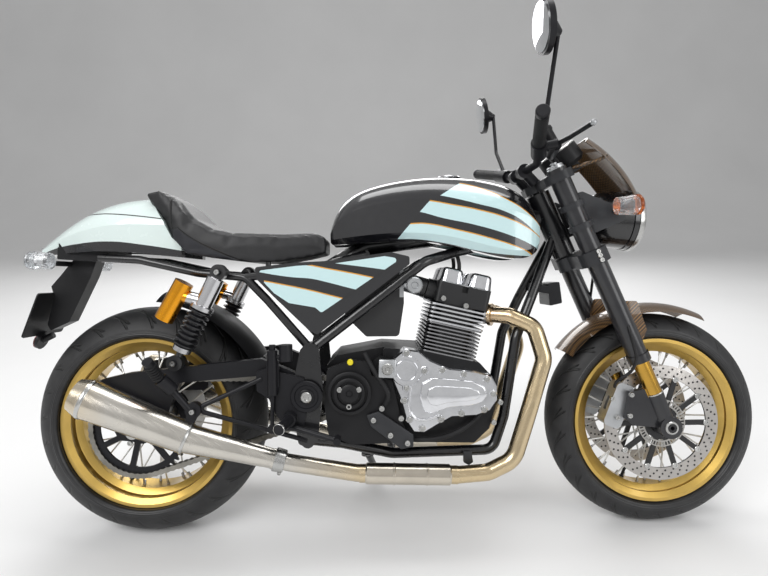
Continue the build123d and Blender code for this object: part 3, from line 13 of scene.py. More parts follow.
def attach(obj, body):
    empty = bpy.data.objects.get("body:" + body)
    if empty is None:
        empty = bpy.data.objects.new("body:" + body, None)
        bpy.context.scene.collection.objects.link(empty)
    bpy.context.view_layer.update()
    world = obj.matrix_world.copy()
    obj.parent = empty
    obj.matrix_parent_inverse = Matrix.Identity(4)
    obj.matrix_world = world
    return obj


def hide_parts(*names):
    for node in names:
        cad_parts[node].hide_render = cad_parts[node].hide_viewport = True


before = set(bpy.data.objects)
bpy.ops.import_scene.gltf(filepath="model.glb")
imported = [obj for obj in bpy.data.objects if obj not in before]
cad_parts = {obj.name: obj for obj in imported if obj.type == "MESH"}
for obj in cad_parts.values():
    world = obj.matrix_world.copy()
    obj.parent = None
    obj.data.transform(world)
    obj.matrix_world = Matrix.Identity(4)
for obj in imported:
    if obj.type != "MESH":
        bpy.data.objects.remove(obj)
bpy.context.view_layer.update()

Point = Sequence[float]
Colour = tuple[float, float, float]
Socket = bpy.types.NodeSocket
Material = bpy.types.Material
Piece = bpy.types.Object

logging.basicConfig(level=logging.INFO, format="%(message)s")
LOG = logging.getLogger("motorcycle")

MM = 0.001


@dataclass(frozen=True)
class Stance:
    """How the upright machine is leaned and set down on its side stand."""

    lean_deg: float = 10.26
    shift_mm: tuple[float, float, float] = (-691.1719212, -206.1965360, 1.5030952)

    def matrix(self) -> Matrix:
        """Return the step from upright millimetres to the parked place in metres."""
        shift = Matrix.Translation(Vector(self.shift_mm) * MM)
        return shift @ Matrix.Rotation(-math.radians(self.lean_deg), 4, "X") @ Matrix.Scale(MM, 4)


PARKED = Stance()
PARK = PARKED.matrix()
FRONT_AXLE = Vector((1420.0, 0.0, 299.49))
REAR_AXLE = Vector((0.0, 0.0, 315.0))
DAMPER_FOOT = Vector((114.0, 0.0, 495.0))
DAMPER_TOP = Vector((227.0, 0.0, 725.0))
CYLINDER_FOOT = Vector((820.0, 0.0, 490.0))
CYLINDER_TILT_DEG = 13.0
RAKE_DEG = 24.0
STEER_GROUND_X = 1519.0
FORK_OFFSET = 35.0


def linear(red: int, green: int, blue: int) -> Colour:
    """Return a screen colour of 0 to 255 as the shader's linear colour."""

    def one(value: int) -> float:
        """Return one channel."""
        part = value / 255
        return part / 12.92 if part <= 0.04045 else ((part + 0.055) / 1.055) ** 2.4

    return one(red), one(green), one(blue)


class Slot(Enum):
    """Material slot names, passed along with the pieces."""

    FRAME = "frame_black"
    ARM = "arm_black"
    CASE = "case_black"
    FIN_BLACK = "fin_black"
    FIN_BRIGHT = "fin_bright"
    POLISHED = "polished_alloy"
    SATIN_ALLOY = "satin_alloy"
    STAINLESS = "stainless"
    TANK = "gloss_black"
    PEARL = "pearl_white"
    SEAT = "seat_cover"
    SHOCK = "shock_black"
    PLASTIC = "satin_plastic"
    LENS = "clear_lens"
    CHAIN = "chain_steel"
    AXLE = "axle_steel"
    YOKE = "yoke_grey"
    FORK = "fork_black"
    GRIP = "grip_rubber"
    CARBON = "carbon"
    HOSE = "hose"
    TYRE = "tyre"
    GOLD = "gold_anodised"
    DISC = "disc_steel"


class Body(Enum):
    """The rigid bodies that pieces ride on."""

    CHASSIS = "chassis"
    STEERING = "steering"
    FRONT_WHEEL = "front_wheel"
    REAR_WHEEL = "rear_wheel"
    STAND = "side_stand"


class Graph:
    """A material's node tree, with the few steps that the finishes share."""

    def __init__(self, name: str) -> None:
        """Start a material with its shader and the upright coordinates.

        Args:
            name: The material's name.
        """
        self.material = bpy.data.materials.new(name)
        self.material.use_nodes = True
        self.tree = self.material.node_tree
        self.shader = self.tree.nodes["Principled BSDF"]
        self._upright = None

    def node(self, kind: str, **settings: object) -> bpy.types.Node:
        """Add a node and return it.

        Args:
            kind: The node's type name.
            **settings: Values for the node's own properties.

        Returns:
            The new node.
        """
        made = self.tree.nodes.new(kind)
        for key, value in settings.items():
            setattr(made, key, value)
        return made

    def link(self, source: object, target: object) -> None:
        """Link a value or a socket into a socket."""
        if isinstance(source, Socket):
            self.tree.links.new(source, target)
        else:
            target.default_value = source

    def upright(self) -> Socket:
        """Return Object coordinates with the lean and the parking undone, in metres."""
        if self._upright is None:
            lean = math.radians(PARKED.lean_deg)
            shift = Vector(PARKED.shift_mm) * MM
            back = Matrix.Rotation(lean, 3, "X") @ -shift
            place = self.node("ShaderNodeTexCoord")
            turn = self.node("ShaderNodeMapping", vector_type="POINT")
            turn.inputs["Rotation"].default_value = (lean, 0.0, 0.0)
            turn.inputs["Location"].default_value = back
            self.link(place.outputs["Object"], turn.inputs["Vector"])
            self._upright = turn.outputs["Vector"]
        return self._upright

    def parts(self) -> tuple[Socket, ...]:
        """Return the upright X, Y and Z sockets.

        Returns:
            The three sockets, in metres.
        """
        split = self.node("ShaderNodeSeparateXYZ")
        self.link(self.upright(), split.inputs[0])
        return tuple(split.outputs)

    def math(self, operation: str, first: object, second: object = 0.0, third: object = 0.0) -> Socket:
        """Add a Math node and return its value.

        Args:
            operation: The node's operation.
            first: The first value or socket.
            second: The second value or socket.
            third: The third value or socket.

        Returns:
            The result socket.
        """
        step = self.node("ShaderNodeMath", operation=operation)
        self.link(first, step.inputs[0])
        self.link(second, step.inputs[1])
        self.link(third, step.inputs[2])
        return step.outputs[0]

    def times(self, first: object, second: object) -> Socket:
        """Return the product of two values."""
        return self.math("MULTIPLY", first, second)

    def plus(self, first: object, second: object) -> Socket:
        """Return the sum of two values."""
        return self.math("ADD", first, second)

    def minus(self, first: object, second: object) -> Socket:
        """Return the first value less the second."""
        return self.math("SUBTRACT", first, second)

    def over(self, first: object, second: object) -> Socket:
        """Return 1 where the first value is over the second, and 0 elsewhere."""
        return self.math("GREATER_THAN", first, second)

    def under(self, first: object, second: object) -> Socket:
        """Return 1 where the first value is under the second, and 0 elsewhere."""
        return self.math("LESS_THAN", first, second)

    def larger(self, first: object, second: object) -> Socket:
        """Return the larger of two values."""
        return self.math("MAXIMUM", first, second)

    def unsigned(self, value: object) -> Socket:
        """Return a value without its sign."""
        return self.math("ABSOLUTE", value)

    def span(self, value: object, low: float, high: float, out_low: float = 0.0, out_high: float = 1.0) -> Socket:
        """Return a value mapped from one range to another and clamped.

        Args:
            value: The value or socket.
            low: The value that maps to the first end.
            high: The value that maps to the second end.
            out_low: The first end.
            out_high: The second end.

        Returns:
            The mapped value's socket.
        """
        step = self.node("ShaderNodeMapRange")
        for source, target in zip((value, low, high, out_low, out_high), step.inputs):
            self.link(source, target)
        return step.outputs[0]

    def polar(self, axle: tuple[float, float]) -> tuple[Socket, Socket]:
        """Return the distance from an axle across the machine, and the angle about it.

        Args:
            axle: The axle's X and Z in upright millimetres.

        Returns:
            The radius socket in metres and the angle socket in radians.
        """
        x, _, z = self.parts()
        dx = self.minus(x, axle[0] * MM)
        dz = self.minus(z, axle[1] * MM)
        radius = self.math("SQRT", self.plus(self.times(dx, dx), self.times(dz, dz)))
        return radius, self.math("ARCTAN2", dz, dx)

    def noise(
        self, scale: float, detail: float = 3.0, stretch: Point = (1.0, 1.0, 1.0), rough: float = 0.5
    ) -> Socket:
        """Return a noise value over the upright coordinates.

        Args:
            scale: Cells per metre.
            detail: Octaves.
            stretch: Scale along each axis, for drawn or brushed grain.
            rough: How much the fine octaves show.

        Returns:
            The noise value socket.
        """
        squeeze = self.node("ShaderNodeMapping", vector_type="POINT")
        squeeze.inputs["Scale"].default_value = stretch
        self.link(self.upright(), squeeze.inputs["Vector"])
        grain = self.node("ShaderNodeTexNoise")
        grain.inputs["Scale"].default_value = scale
        grain.inputs["Detail"].default_value = detail
        grain.inputs["Roughness"].default_value = rough
        self.link(squeeze.outputs["Vector"], grain.inputs["Vector"])
        return grain.outputs["Fac"]

    def mix(self, factor: object, first: object, second: object) -> Socket:
        """Return a blend of two colours.

        Args:
            factor: How much of the second colour shows.
            first: A colour or a socket.
            second: A colour or a socket.

        Returns:
            The colour socket.
        """
        step = self.node("ShaderNodeMix", data_type="RGBA")
        for source, target in ((factor, step.inputs[0]), (first, step.inputs[6]), (second, step.inputs[7])):
            if isinstance(source, tuple):
                source = (*source, 1.0) if len(source) == 3 else source
            self.link(source, target)
        return step.outputs[2]

    def bump(self, height: object, distance: float, strength: float = 1.0) -> None:
        """Raise the surface by a height value over a distance in metres.

        Args:
            height: The height value, of about 0 to 1.
            distance: What a height of 1 stands for, in metres.
            strength: How much of it shows.
        """
        step = self.node("ShaderNodeBump")
        step.inputs["Distance"].default_value = distance
        step.inputs["Strength"].default_value = strength
        self.link(height, step.inputs["Height"])
        self.link(step.outputs["Normal"], self.shader.inputs["Normal"])

    def colour(self, source: object) -> None:
        """Set the base colour from a colour or a socket."""
        if isinstance(source, tuple) and len(source) == 3:
            source = (*source, 1.0)
        self.link(source, self.shader.inputs["Base Color"])

    def rough(self, source: object) -> None:
        """Set the roughness from a number or a socket."""
        self.link(source, self.shader.inputs["Roughness"])

    def metal(self, source: object) -> None:
        """Set how metallic the surface is from a number or a socket."""
        self.link(source, self.shader.inputs["Metallic"])

    def fixed(self, **sockets: float) -> None:
        """Set plain numbers on the shader's own sockets, underscores for spaces."""
        for key, value in sockets.items():
            self.shader.inputs[key.replace("_", " ")].default_value = value

    def curve(self, value: Socket, table: Sequence[Point], low: float, high: float) -> Socket:
        """Return Z along a table of X and Z in millimetres.

        Args:
            value: The X socket, in metres.
            table: Pairs of X and Z.
            low: The Z that 0 stands for.
            high: The Z that 1 stands for.

        Returns:
            The Z socket, in metres.
        """
        first, last = table[0][0], table[-1][0]
        step = self.node("ShaderNodeFloatCurve")
        line = step.mapping.curves[0]
        line.points[0].location = (0.0, (table[0][1] - low) / (high - low))
        line.points[-1].location = (1.0, (table[-1][1] - low) / (high - low))
        for x, z in table[1:-1]:
            line.points.new((x - first) / (last - first), (z - low) / (high - low))
        step.mapping.update()
        self.link(self.span(value, first * MM, last * MM), step.inputs["Value"])
        return self.span(step.outputs[0], 0.0, 1.0, low * MM, high * MM)


@dataclass(frozen=True)
class Paint:
    """Sprayed paint or moulded gloss: a base colour, faint flow and a clear coat."""

    name: str
    colour: Colour
    rough: float = 0.35
    coat: float = 1.0
    metal: float = 0.0
    peel: float = 0.00002
    dust: float = 0.15

    def make(self) -> Material:
        """Mix the finish.

        Returns:
            The material.
        """
        graph = Graph(self.name)
        film = graph.noise(9.0, 4.0)
        worn = tuple(min(1.0, part * 1.35 + 0.006) for part in self.colour)
        graph.colour(graph.mix(graph.span(film, 0.45, 0.75, 0.0, self.dust), self.colour, worn))
        graph.rough(graph.span(graph.noise(60.0, 3.0), 0.3, 0.7, self.rough * 0.85, self.rough * 1.15))
        graph.fixed(Metallic=self.metal, Coat_Weight=self.coat, Coat_Roughness=0.04)
        graph.bump(graph.noise(260.0, 2.0), self.peel)
        return graph.material


@dataclass(frozen=True)
class Powder:
    """Powder coat or cast crackle: a fine even texture with a satin sheen."""

    name: str
    colour: Colour
    rough: float = 0.5
    grain: float = 900.0
    depth: float = 0.00005
    coat: float = 0.15

    def make(self) -> Material:
        """Mix the finish.

        Returns:
            The material.
        """
        graph = Graph(self.name)
        speck = graph.noise(self.grain, 2.0)
        film = graph.noise(14.0, 4.0)
        lighter = tuple(min(1.0, part * 1.4 + 0.003) for part in self.colour)
        graph.colour(graph.mix(graph.span(film, 0.4, 0.8, 0.0, 0.4), self.colour, lighter))
        graph.rough(graph.span(film, 0.3, 0.7, self.rough * 0.85, self.rough * 1.15))
        graph.fixed(Coat_Weight=self.coat * 0.6, Coat_Roughness=0.25, Specular_IOR_Level=0.22)
        graph.bump(speck, self.depth)
        return graph.material


@dataclass(frozen=True)
class Metal:
    """Bare metal: cast, brushed, ground or polished, by its grain and stretch."""

    name: str
    colour: Colour
    rough: float = 0.3
    grain: float = 400.0
    stretch: tuple[float, float, float] = (1.0, 1.0, 1.0)
    depth: float = 0.00002
    shade: float = 0.25
    coat: float = 0.0

    def make(self) -> Material:
        """Mix the finish.

        Returns:
            The material.
        """
        graph = Graph(self.name)
        graph.colour(self.tone(graph))
        fine = graph.noise(self.grain, 4.0, self.stretch)
        graph.rough(graph.span(fine, 0.3, 0.7, self.rough * 0.75, self.rough * 1.25))
        graph.fixed(Metallic=1.0, Coat_Weight=self.coat, Coat_Roughness=0.08)
        graph.bump(fine, self.depth)
        return graph.material

    def tone(self, graph: Graph) -> Socket:
        """Return the colour with its cloudy shade and faint stain.

        Args:
            graph: The material's nodes.

        Returns:
            The colour socket.
        """
        cloud = graph.noise(18.0, 5.0)
        darker = tuple(part * (1.0 - self.shade) for part in self.colour)
        return graph.mix(graph.span(cloud, 0.35, 0.7, 0.0, 1.0), self.colour, darker)


@dataclass(frozen=True)
class Rubber:
    """Moulded rubber: near black, dull, with a fine skin and pale bloom."""

    name: str
    colour: Colour = (0.010, 0.010, 0.011)
    rough: float = 0.62
    ribs: float = 0.0

    def make(self) -> Material:
        """Mix the finish.

        Returns:
            The material.
        """
        graph = Graph(self.name)
        bloom = graph.noise(22.0, 5.0)
        pale = tuple(part + 0.012 for part in self.colour)
        graph.colour(graph.mix(graph.span(bloom, 0.4, 0.8, 0.0, 0.6), self.colour, pale))
        graph.fixed(Roughness=self.rough, Specular_IOR_Level=0.3)
        height = graph.noise(700.0, 2.0)
        if self.ribs > 0:
            _, y, _ = graph.parts()
            wave = graph.math("SINE", graph.times(y, self.ribs * 2 * math.pi))
            height = graph.plus(graph.times(height, 0.12), graph.span(wave, -0.3, 0.3))
            graph.bump(height, 0.0009)
        else:
            graph.bump(height, 0.00006)
        return graph.material


@dataclass(frozen=True)
class TyreRubber:
    """A tyre's rubber with slanted road grooves, wear band and sidewall rings."""

    name: str
    axle: tuple[float, float]
    outer: float
    half: float
    sweeps: int = 22

    def make(self) -> Material:
        """Mix the finish.

        Returns:
            The material.
        """
        graph = Graph(self.name)
        _, y, _ = graph.parts()
        radius, angle = graph.polar(self.axle)
        across = graph.math("DIVIDE", graph.unsigned(y), self.half * MM)
        grooves = None
        for offset, slant, low, high, width in (
            (0.0, 0.20, 0.16, 0.86, 0.075), (0.5, 0.13, 0.40, 0.95, 0.06), (0.27, -0.10, 0.05, 0.30, 0.05)
        ):
            sweep = graph.times(angle, self.sweeps / (2 * math.pi))
            lean = graph.times(graph.math("POWER", across, 0.8), slant * self.sweeps / 2.2)
            phase = graph.math("FRACT", graph.plus(graph.plus(sweep, lean), offset + 8.0))
            away = graph.unsigned(graph.minus(phase, 0.5))
            cut = graph.span(away, width, width * 0.55)
            inside = graph.times(graph.span(across, low, low + 0.04), graph.span(across, high, high - 0.05))
            cut = graph.times(cut, inside)
            grooves = cut if grooves is None else graph.larger(grooves, cut)
        tread = graph.span(radius, (self.outer - self.half * 0.72) * MM, (self.outer - self.half * 0.66) * MM)
        grooves = graph.times(grooves, tread)
        bloom = graph.noise(30.0, 5.0)
        base = graph.mix(graph.span(bloom, 0.4, 0.75), (0.011, 0.011, 0.012), (0.022, 0.022, 0.023))
        # Painted shade: the grooves are coloured near black, darker than the rubber round them, standing in for the
        # shade inside these recesses.
        graph.colour(graph.mix(grooves, base, (0.004, 0.004, 0.004)))
        graph.rough(graph.mix(tread, (0.38, 0.38, 0.38), (0.56, 0.56, 0.56)))
        rings = graph.math("SINE", graph.times(radius, 2 * math.pi / 0.0045))
        wall = graph.times(graph.span(radius, 0.258, 0.255), graph.span(radius, 0.238, 0.241))
        height = graph.times(graph.times(rings, wall), 0.10)
        height = graph.minus(height, grooves)
        height = graph.plus(height, graph.times(graph.noise(600.0, 2.0), 0.03))
        graph.bump(height, 0.0028)
        return graph.material


@dataclass(frozen=True)
class Stripe:
    """One painted stripe on the side view, with its gold line along the top."""

    upper: tuple[tuple[float, float], ...]
    lower: tuple[tuple[float, float], ...]
    start: tuple[float, float]
    slope: float = 0.0
    pin: float = 3.2


@dataclass(frozen=True)
class StripedPaint(Paint):
    """Gloss black with pale blue stripes, each edged with a gold line."""

    stripes: tuple[Stripe, ...] = ()
    blue: Colour = linear(198, 226, 228)
    gold: Colour = linear(214, 150, 50)
    keep: tuple[float, float] = (0.0, 5.0)

    def make(self) -> Material:
        """Mix the finish.

        Returns:
            The material.
        """
        graph = Graph(self.name)
        x, y, z = graph.parts()
        colour = self.colour
        for stripe in self.stripes:
            top = graph.curve(x, stripe.upper, 500.0, 1100.0)
            low = graph.curve(x, stripe.lower, 500.0, 1100.0)
            cut = graph.minus(x, graph.times(graph.minus(z, stripe.start[1] * MM), stripe.slope))
            begun = graph.over(cut, stripe.start[0] * MM)
            above = graph.over(z, low)
            below = graph.under(z, top)
            fill = graph.times(begun, graph.times(above, below))
            line = graph.under(z, graph.plus(top, stripe.pin * MM))
            line = graph.times(begun, graph.times(above, line))
            outer = graph.over(graph.unsigned(y), self.keep[0])
            colour = graph.mix(graph.times(line, outer), colour, self.gold)
            colour = graph.mix(graph.times(fill, outer), colour, self.blue)
        graph.colour(colour)
        graph.rough(graph.span(graph.noise(60.0, 3.0), 0.3, 0.7, self.rough * 0.85, self.rough * 1.15))
        graph.fixed(Coat_Weight=1.0, Coat_Roughness=0.03)
        graph.bump(graph.noise(240.0, 2.0), self.peel)
        return graph.material


@dataclass(frozen=True)
class TwoTone(Paint):
    """Paint above a swept line and another colour under it."""

    under: Colour = (0.01, 0.01, 0.012)
    edge: tuple[tuple[float, float], ...] = ((0.0, 800.0), (1.0, 800.0))
    seam: tuple[tuple[float, float], ...] = ()

    def make(self) -> Material:
        """Mix the finish.

        Returns:
            The material.
        """
        graph = Graph(self.name)
        x, _, z = graph.parts()
        split = graph.over(z, graph.curve(x, self.edge, 500.0, 1100.0))
        pearl = graph.mix(
            graph.span(graph.noise(7.0, 3.0), 0.4, 0.7, 0.0, 0.35),
            self.colour,
            tuple(part * 0.9 for part in self.colour),
        )
        if self.seam:
            away = graph.unsigned(graph.minus(z, graph.curve(x, self.seam, 500.0, 1100.0)))
            groove = graph.times(graph.under(away, 0.0016), graph.under(x, self.seam[-1][0] * MM))
            pearl = graph.mix(groove, pearl, (0.05, 0.05, 0.055))
        graph.colour(graph.mix(split, self.under, pearl))
        graph.rough(graph.span(graph.noise(60.0, 3.0), 0.3, 0.7, self.rough * 0.85, self.rough * 1.15))
        graph.fixed(Coat_Weight=1.0, Coat_Roughness=0.04)
        graph.bump(graph.noise(240.0, 2.0), self.peel)
        return graph.material


@dataclass(frozen=True)
class CarbonWeave:
    """Twill carbon cloth under a bronze-tinted clear lacquer."""

    name: str
    dark: Colour = (0.012, 0.009, 0.006)
    light: Colour = linear(158, 116, 66)
    pitch: float = 0.0034

    def make(self) -> Material:
        """Mix the finish.

        Returns:
            The material.
        """
        graph = Graph(self.name)
        x, y, z = graph.parts()
        down = graph.times(graph.minus(x, z), math.sqrt(0.5))
        along = graph.math("DIVIDE", graph.plus(y, down), self.pitch * 2)
        over = graph.math("DIVIDE", graph.minus(y, down), self.pitch * 2)
        step = graph.math("FLOOR", along)
        weave = graph.math("FRACT", graph.plus(over, graph.times(step, 0.25)))
        tow = graph.over(weave, 0.5)
        round_tow = graph.math("SINE", graph.times(graph.math("FRACT", along), math.pi))
        shade = graph.times(graph.plus(graph.times(tow, 0.55), 0.25), round_tow)
        cloud = graph.noise(5.0, 3.0)
        shade = graph.times(shade, graph.span(cloud, 0.3, 0.7, 0.6, 1.1))
        graph.colour(graph.mix(shade, self.dark, self.light))
        graph.rough(graph.mix(tow, (0.32, 0.32, 0.32), (0.48, 0.48, 0.48)))
        graph.fixed(Metallic=0.45, Coat_Weight=1.0, Coat_Roughness=0.03)
        graph.bump(graph.noise(180.0, 2.0), 0.00003)
        return graph.material


@dataclass(frozen=True)
class Clear:
    """Clear or tinted lens plastic and glass."""

    name: str
    colour: Colour = (0.92, 0.94, 0.96)
    rough: float = 0.06
    ribs: float = 0.0

    def make(self) -> Material:
        """Mix the finish.

        Returns:
            The material.
        """
        graph = Graph(self.name)
        haze = graph.noise(40.0, 3.0)
        graph.colour(
            graph.mix(graph.span(haze, 0.4, 0.8, 0.0, 0.3), self.colour, tuple(part * 0.9 for part in self.colour))
        )
        graph.fixed(Transmission_Weight=0.9, Roughness=self.rough, IOR=1.45)
        if self.ribs > 0:
            _, y, _ = graph.parts()
            wave = graph.math("SINE", graph.times(y, self.ribs * 2 * math.pi))
            graph.bump(wave, 0.0006)
        return graph.material


@dataclass(frozen=True)
class Zones:
    """Two finishes split across a line, such as gold tube and black casting."""

    name: str
    first: Colour
    second: Colour
    normal: tuple[float, float, float]
    offset: float
    metal: tuple[float, float] = (0.0, 1.0)
    rough: tuple[float, float] = (0.3, 0.22)
    band: float = 10.0
    across: tuple[float, float] = (0.0, 1.0e4)

    def make(self) -> Material:
        """Mix the finish.

        Returns:
            The material.
        """
        graph = Graph(self.name)
        x, _, z = graph.parts()
        level = graph.plus(graph.times(x, self.normal[0]), graph.times(z, self.normal[2]))
        level = graph.minus(level, self.offset * MM)
        inside = graph.times(graph.under(level, 0.0), graph.over(level, -self.band * MM))
        beside = graph.minus(graph.times(x, self.normal[2]), graph.times(z, self.normal[0]))
        beside = graph.unsigned(graph.minus(beside, self.across[0] * MM))
        inside = graph.times(inside, graph.under(beside, self.across[1] * MM))
        cloud = graph.noise(16.0, 4.0)
        tint = graph.mix(inside, self.first, self.second)
        graph.colour(graph.mix(graph.span(cloud, 0.35, 0.75, 0.0, 0.25), tint, (0.05, 0.05, 0.05)))
        graph.metal(graph.span(inside, 0.0, 1.0, self.metal[0], self.metal[1]))
        graph.rough(graph.span(inside, 0.0, 1.0, self.rough[0], self.rough[1]))
        graph.fixed(Coat_Weight=0.3, Coat_Roughness=0.1)
        graph.bump(graph.noise(500.0, 2.0), 0.00003)
        return graph.material


@dataclass(frozen=True)
class WheelMetal:
    """A wire wheel's finishes by distance from its axle: hub, spokes and gold rim."""

    name: str
    axle: tuple[float, float]
    hub_r: float
    rim_r: float = 192.0
    gold: Colour = linear(206, 172, 92)
    chrome: Colour = linear(206, 206, 204)
    hub: Colour = (0.012, 0.012, 0.013)

    def make(self) -> Material:
        """Mix the finish.

        Returns:
            The material.
        """
        graph = Graph(self.name)
        radius, _ = graph.polar(self.axle)
        rim = graph.over(radius, self.rim_r * MM)
        hub = graph.under(radius, self.hub_r * MM)
        cloud = graph.noise(16.0, 4.0)
        gold = graph.mix(graph.span(cloud, 0.35, 0.75), self.gold, tuple(part * 0.82 for part in self.gold))
        tint = graph.mix(rim, self.chrome, gold)
        graph.colour(graph.mix(hub, tint, self.hub))
        graph.metal(graph.minus(1.0, graph.times(hub, 0.8)))
        grain = graph.noise(420.0, 3.0)
        graph.rough(graph.span(grain, 0.3, 0.7, 0.30, 0.42))
        graph.fixed(Coat_Weight=0.4, Coat_Roughness=0.12)
        graph.bump(grain, 0.00003)
        return graph.material


@dataclass(frozen=True)
class DiscSteel:
    """A floating brake disc: ground and drilled band on a black spider."""

    name: str
    axle: tuple[float, float]
    band_r: float = 126.0
    steel: Colour = linear(188, 184, 180)
    spider: Colour = (0.012, 0.012, 0.013)
    holes: int = 36
    rows: tuple[float, ...] = (134.0, 143.0, 152.0)

    def make(self) -> Material:
        """Mix the finish.

        Returns:
            The material.
        """
        graph = Graph(self.name)
        radius, angle = graph.polar(self.axle)
        band = graph.over(radius, self.band_r * MM)
        drilled = None
        for row, at in enumerate(self.rows):
            turn = graph.math("FRACT", graph.plus(graph.times(angle, self.holes / (2 * math.pi)), 8.0 + row / 3))
            across = graph.times(graph.minus(turn, 0.5), 2 * math.pi * at * MM / self.holes)
            out = graph.minus(radius, at * MM)
            away = graph.math("SQRT", graph.plus(graph.times(across, across), graph.times(out, out)))
            hole = graph.span(away, 0.0030, 0.0024)
            drilled = hole if drilled is None else graph.larger(drilled, hole)
        lines = graph.math("SINE", graph.times(radius, 2 * math.pi / 0.0011))
        cloud = graph.noise(14.0, 4.0)
        steel = graph.mix(graph.span(cloud, 0.35, 0.7), self.steel, tuple(part * 0.78 for part in self.steel))
        steel = graph.mix(drilled, steel, (0.01, 0.01, 0.01))
        graph.colour(graph.mix(band, self.spider, steel))
        bare = graph.times(band, graph.minus(1.0, drilled))
        graph.metal(bare)
        graph.rough(graph.span(cloud, 0.3, 0.7, 0.26, 0.38))
        height = graph.minus(graph.times(lines, 0.03), drilled)
        graph.bump(graph.times(height, band), 0.0012)
        return graph.material


@dataclass(frozen=True)
class Banded:
    """Finishes in bands along one line, such as a damper's body and spring."""

    name: str
    start: tuple[float, float, float]
    towards: tuple[float, float, float]
    bands: tuple[tuple[float, Colour, float, float], ...]
    beside: float = 42.0
    above: float = 0.0
    gold: Colour = linear(236, 160, 30)

    def make(self) -> Material:
        """Mix the finish: a band is its start, colour, metal and roughness.

        Returns:
            The material.
        """
        graph = Graph(self.name)
        axis = (Vector(self.towards) - Vector(self.start)).normalized()
        x, _, z = graph.parts()
        level = graph.plus(graph.times(x, axis.x), graph.times(z, axis.z))
        level = graph.minus(level, (Vector(self.start).dot(Vector((axis.x, 0.0, axis.z)))) * MM)
        _, colour, metal, rough = self.bands[0]
        for begin, tint, bare, dull in self.bands[1:]:
            past = graph.over(level, begin * MM)
            past = graph.times(past, graph.over(z, self.above * MM))
            colour = graph.mix(past, colour, tint)
            metal = graph.plus(metal, graph.times(past, graph.minus(bare, metal)))
            rough = graph.plus(rough, graph.times(past, graph.minus(dull, rough)))
        off = graph.minus(graph.times(x, axis.z), graph.times(z, axis.x))
        off = graph.minus(off, (self.start[0] * axis.z - self.start[2] * axis.x) * MM)
        cup = graph.under(off, -self.beside * MM)
        colour = graph.mix(cup, colour, self.gold)
        metal = graph.larger(metal, cup)
        cloud = graph.noise(20.0, 4.0)
        graph.colour(graph.mix(graph.span(cloud, 0.4, 0.8, 0.0, 0.2), colour, (0.03, 0.03, 0.03)))
        graph.metal(metal)
        graph.rough(graph.plus(rough, graph.span(cloud, 0.3, 0.7, -0.03, 0.05)))
        graph.fixed(Coat_Weight=0.3, Coat_Roughness=0.1)
        graph.bump(graph.noise(500.0, 2.0), 0.00003)
        return graph.material


@dataclass(frozen=True)
class ExhaustSteel:
    """Header steel that runs from straw at the ports to brushed silver at the muffler."""

    name: str
    silver: Colour = linear(206, 202, 194)
    straw: Colour = linear(210, 190, 154)
    bronze: Colour = linear(190, 164, 132)

    def make(self) -> Material:
        """Mix the finish.

        Returns:
            The material.
        """
        graph = Graph(self.name)
        x, _, z = graph.parts()
        tint = graph.mix(graph.span(x, 0.40, 0.62), self.silver, self.straw)
        tint = graph.mix(
            graph.span(z, 0.42, 0.60), tint, graph.mix(graph.span(x, 0.86, 0.95), self.silver, self.straw)
        )
        port = graph.times(graph.span(x, 1.03, 0.95, 0.0, 0.8), graph.span(z, 0.50, 0.56))
        tint = graph.mix(port, tint, self.bronze)
        cloud = graph.noise(9.0, 4.0)
        tip = graph.times(graph.span(x, -0.02, -0.10), graph.span(cloud, 0.3, 0.7, 0.25, 0.7))
        tint = graph.mix(tip, tint, self.straw)
        graph.colour(graph.mix(graph.span(cloud, 0.4, 0.75, 0.0, 0.22), tint, (0.30, 0.29, 0.27)))
        brushed = graph.noise(420.0, 2.0, (0.04, 1.0, 0.04))
        graph.rough(graph.span(brushed, 0.3, 0.7, 0.18, 0.3))
        graph.fixed(Metallic=1.0)
        graph.bump(brushed, 0.00003)
        return graph.material


@dataclass(frozen=True)
class HeadMetal:
    """The cylinder head: bright-edged fins below, a black block above."""

    name: str
    block_from: float = 145.0
    half_side: float = 108.5
    half_ahead: float = 72.5
    bright: Colour = linear(206, 207, 210)
    black: Colour = (0.012, 0.012, 0.013)

    def make(self) -> Material:
        """Mix the finish: only the fins' outer edges are bare metal.

        Returns:
            The material.
        """
        graph = Graph(self.name)
        tilt = math.radians(CYLINDER_TILT_DEG)
        x, y, z = graph.parts()
        dx = graph.minus(x, CYLINDER_FOOT.x * MM)
        dz = graph.minus(z, CYLINDER_FOOT.z * MM)
        up = graph.plus(graph.times(dx, math.sin(tilt)), graph.times(dz, math.cos(tilt)))
        side = graph.minus(graph.times(dx, math.cos(tilt)), graph.times(dz, math.sin(tilt)))
        edge_y = graph.over(graph.unsigned(y), self.half_side * MM)
        edge_x = graph.over(graph.unsigned(side), self.half_ahead * MM)
        edge = graph.larger(edge_y, edge_x)
        low = graph.under(up, self.block_from * MM)
        bare = graph.times(edge, low)
        graph.colour(graph.mix(bare, self.black, self.bright))
        graph.metal(bare)
        grain = graph.noise(700.0, 3.0)
        graph.rough(graph.span(grain, 0.3, 0.7, 0.3, 0.42))
        graph.bump(grain, 0.00005)
        return graph.material


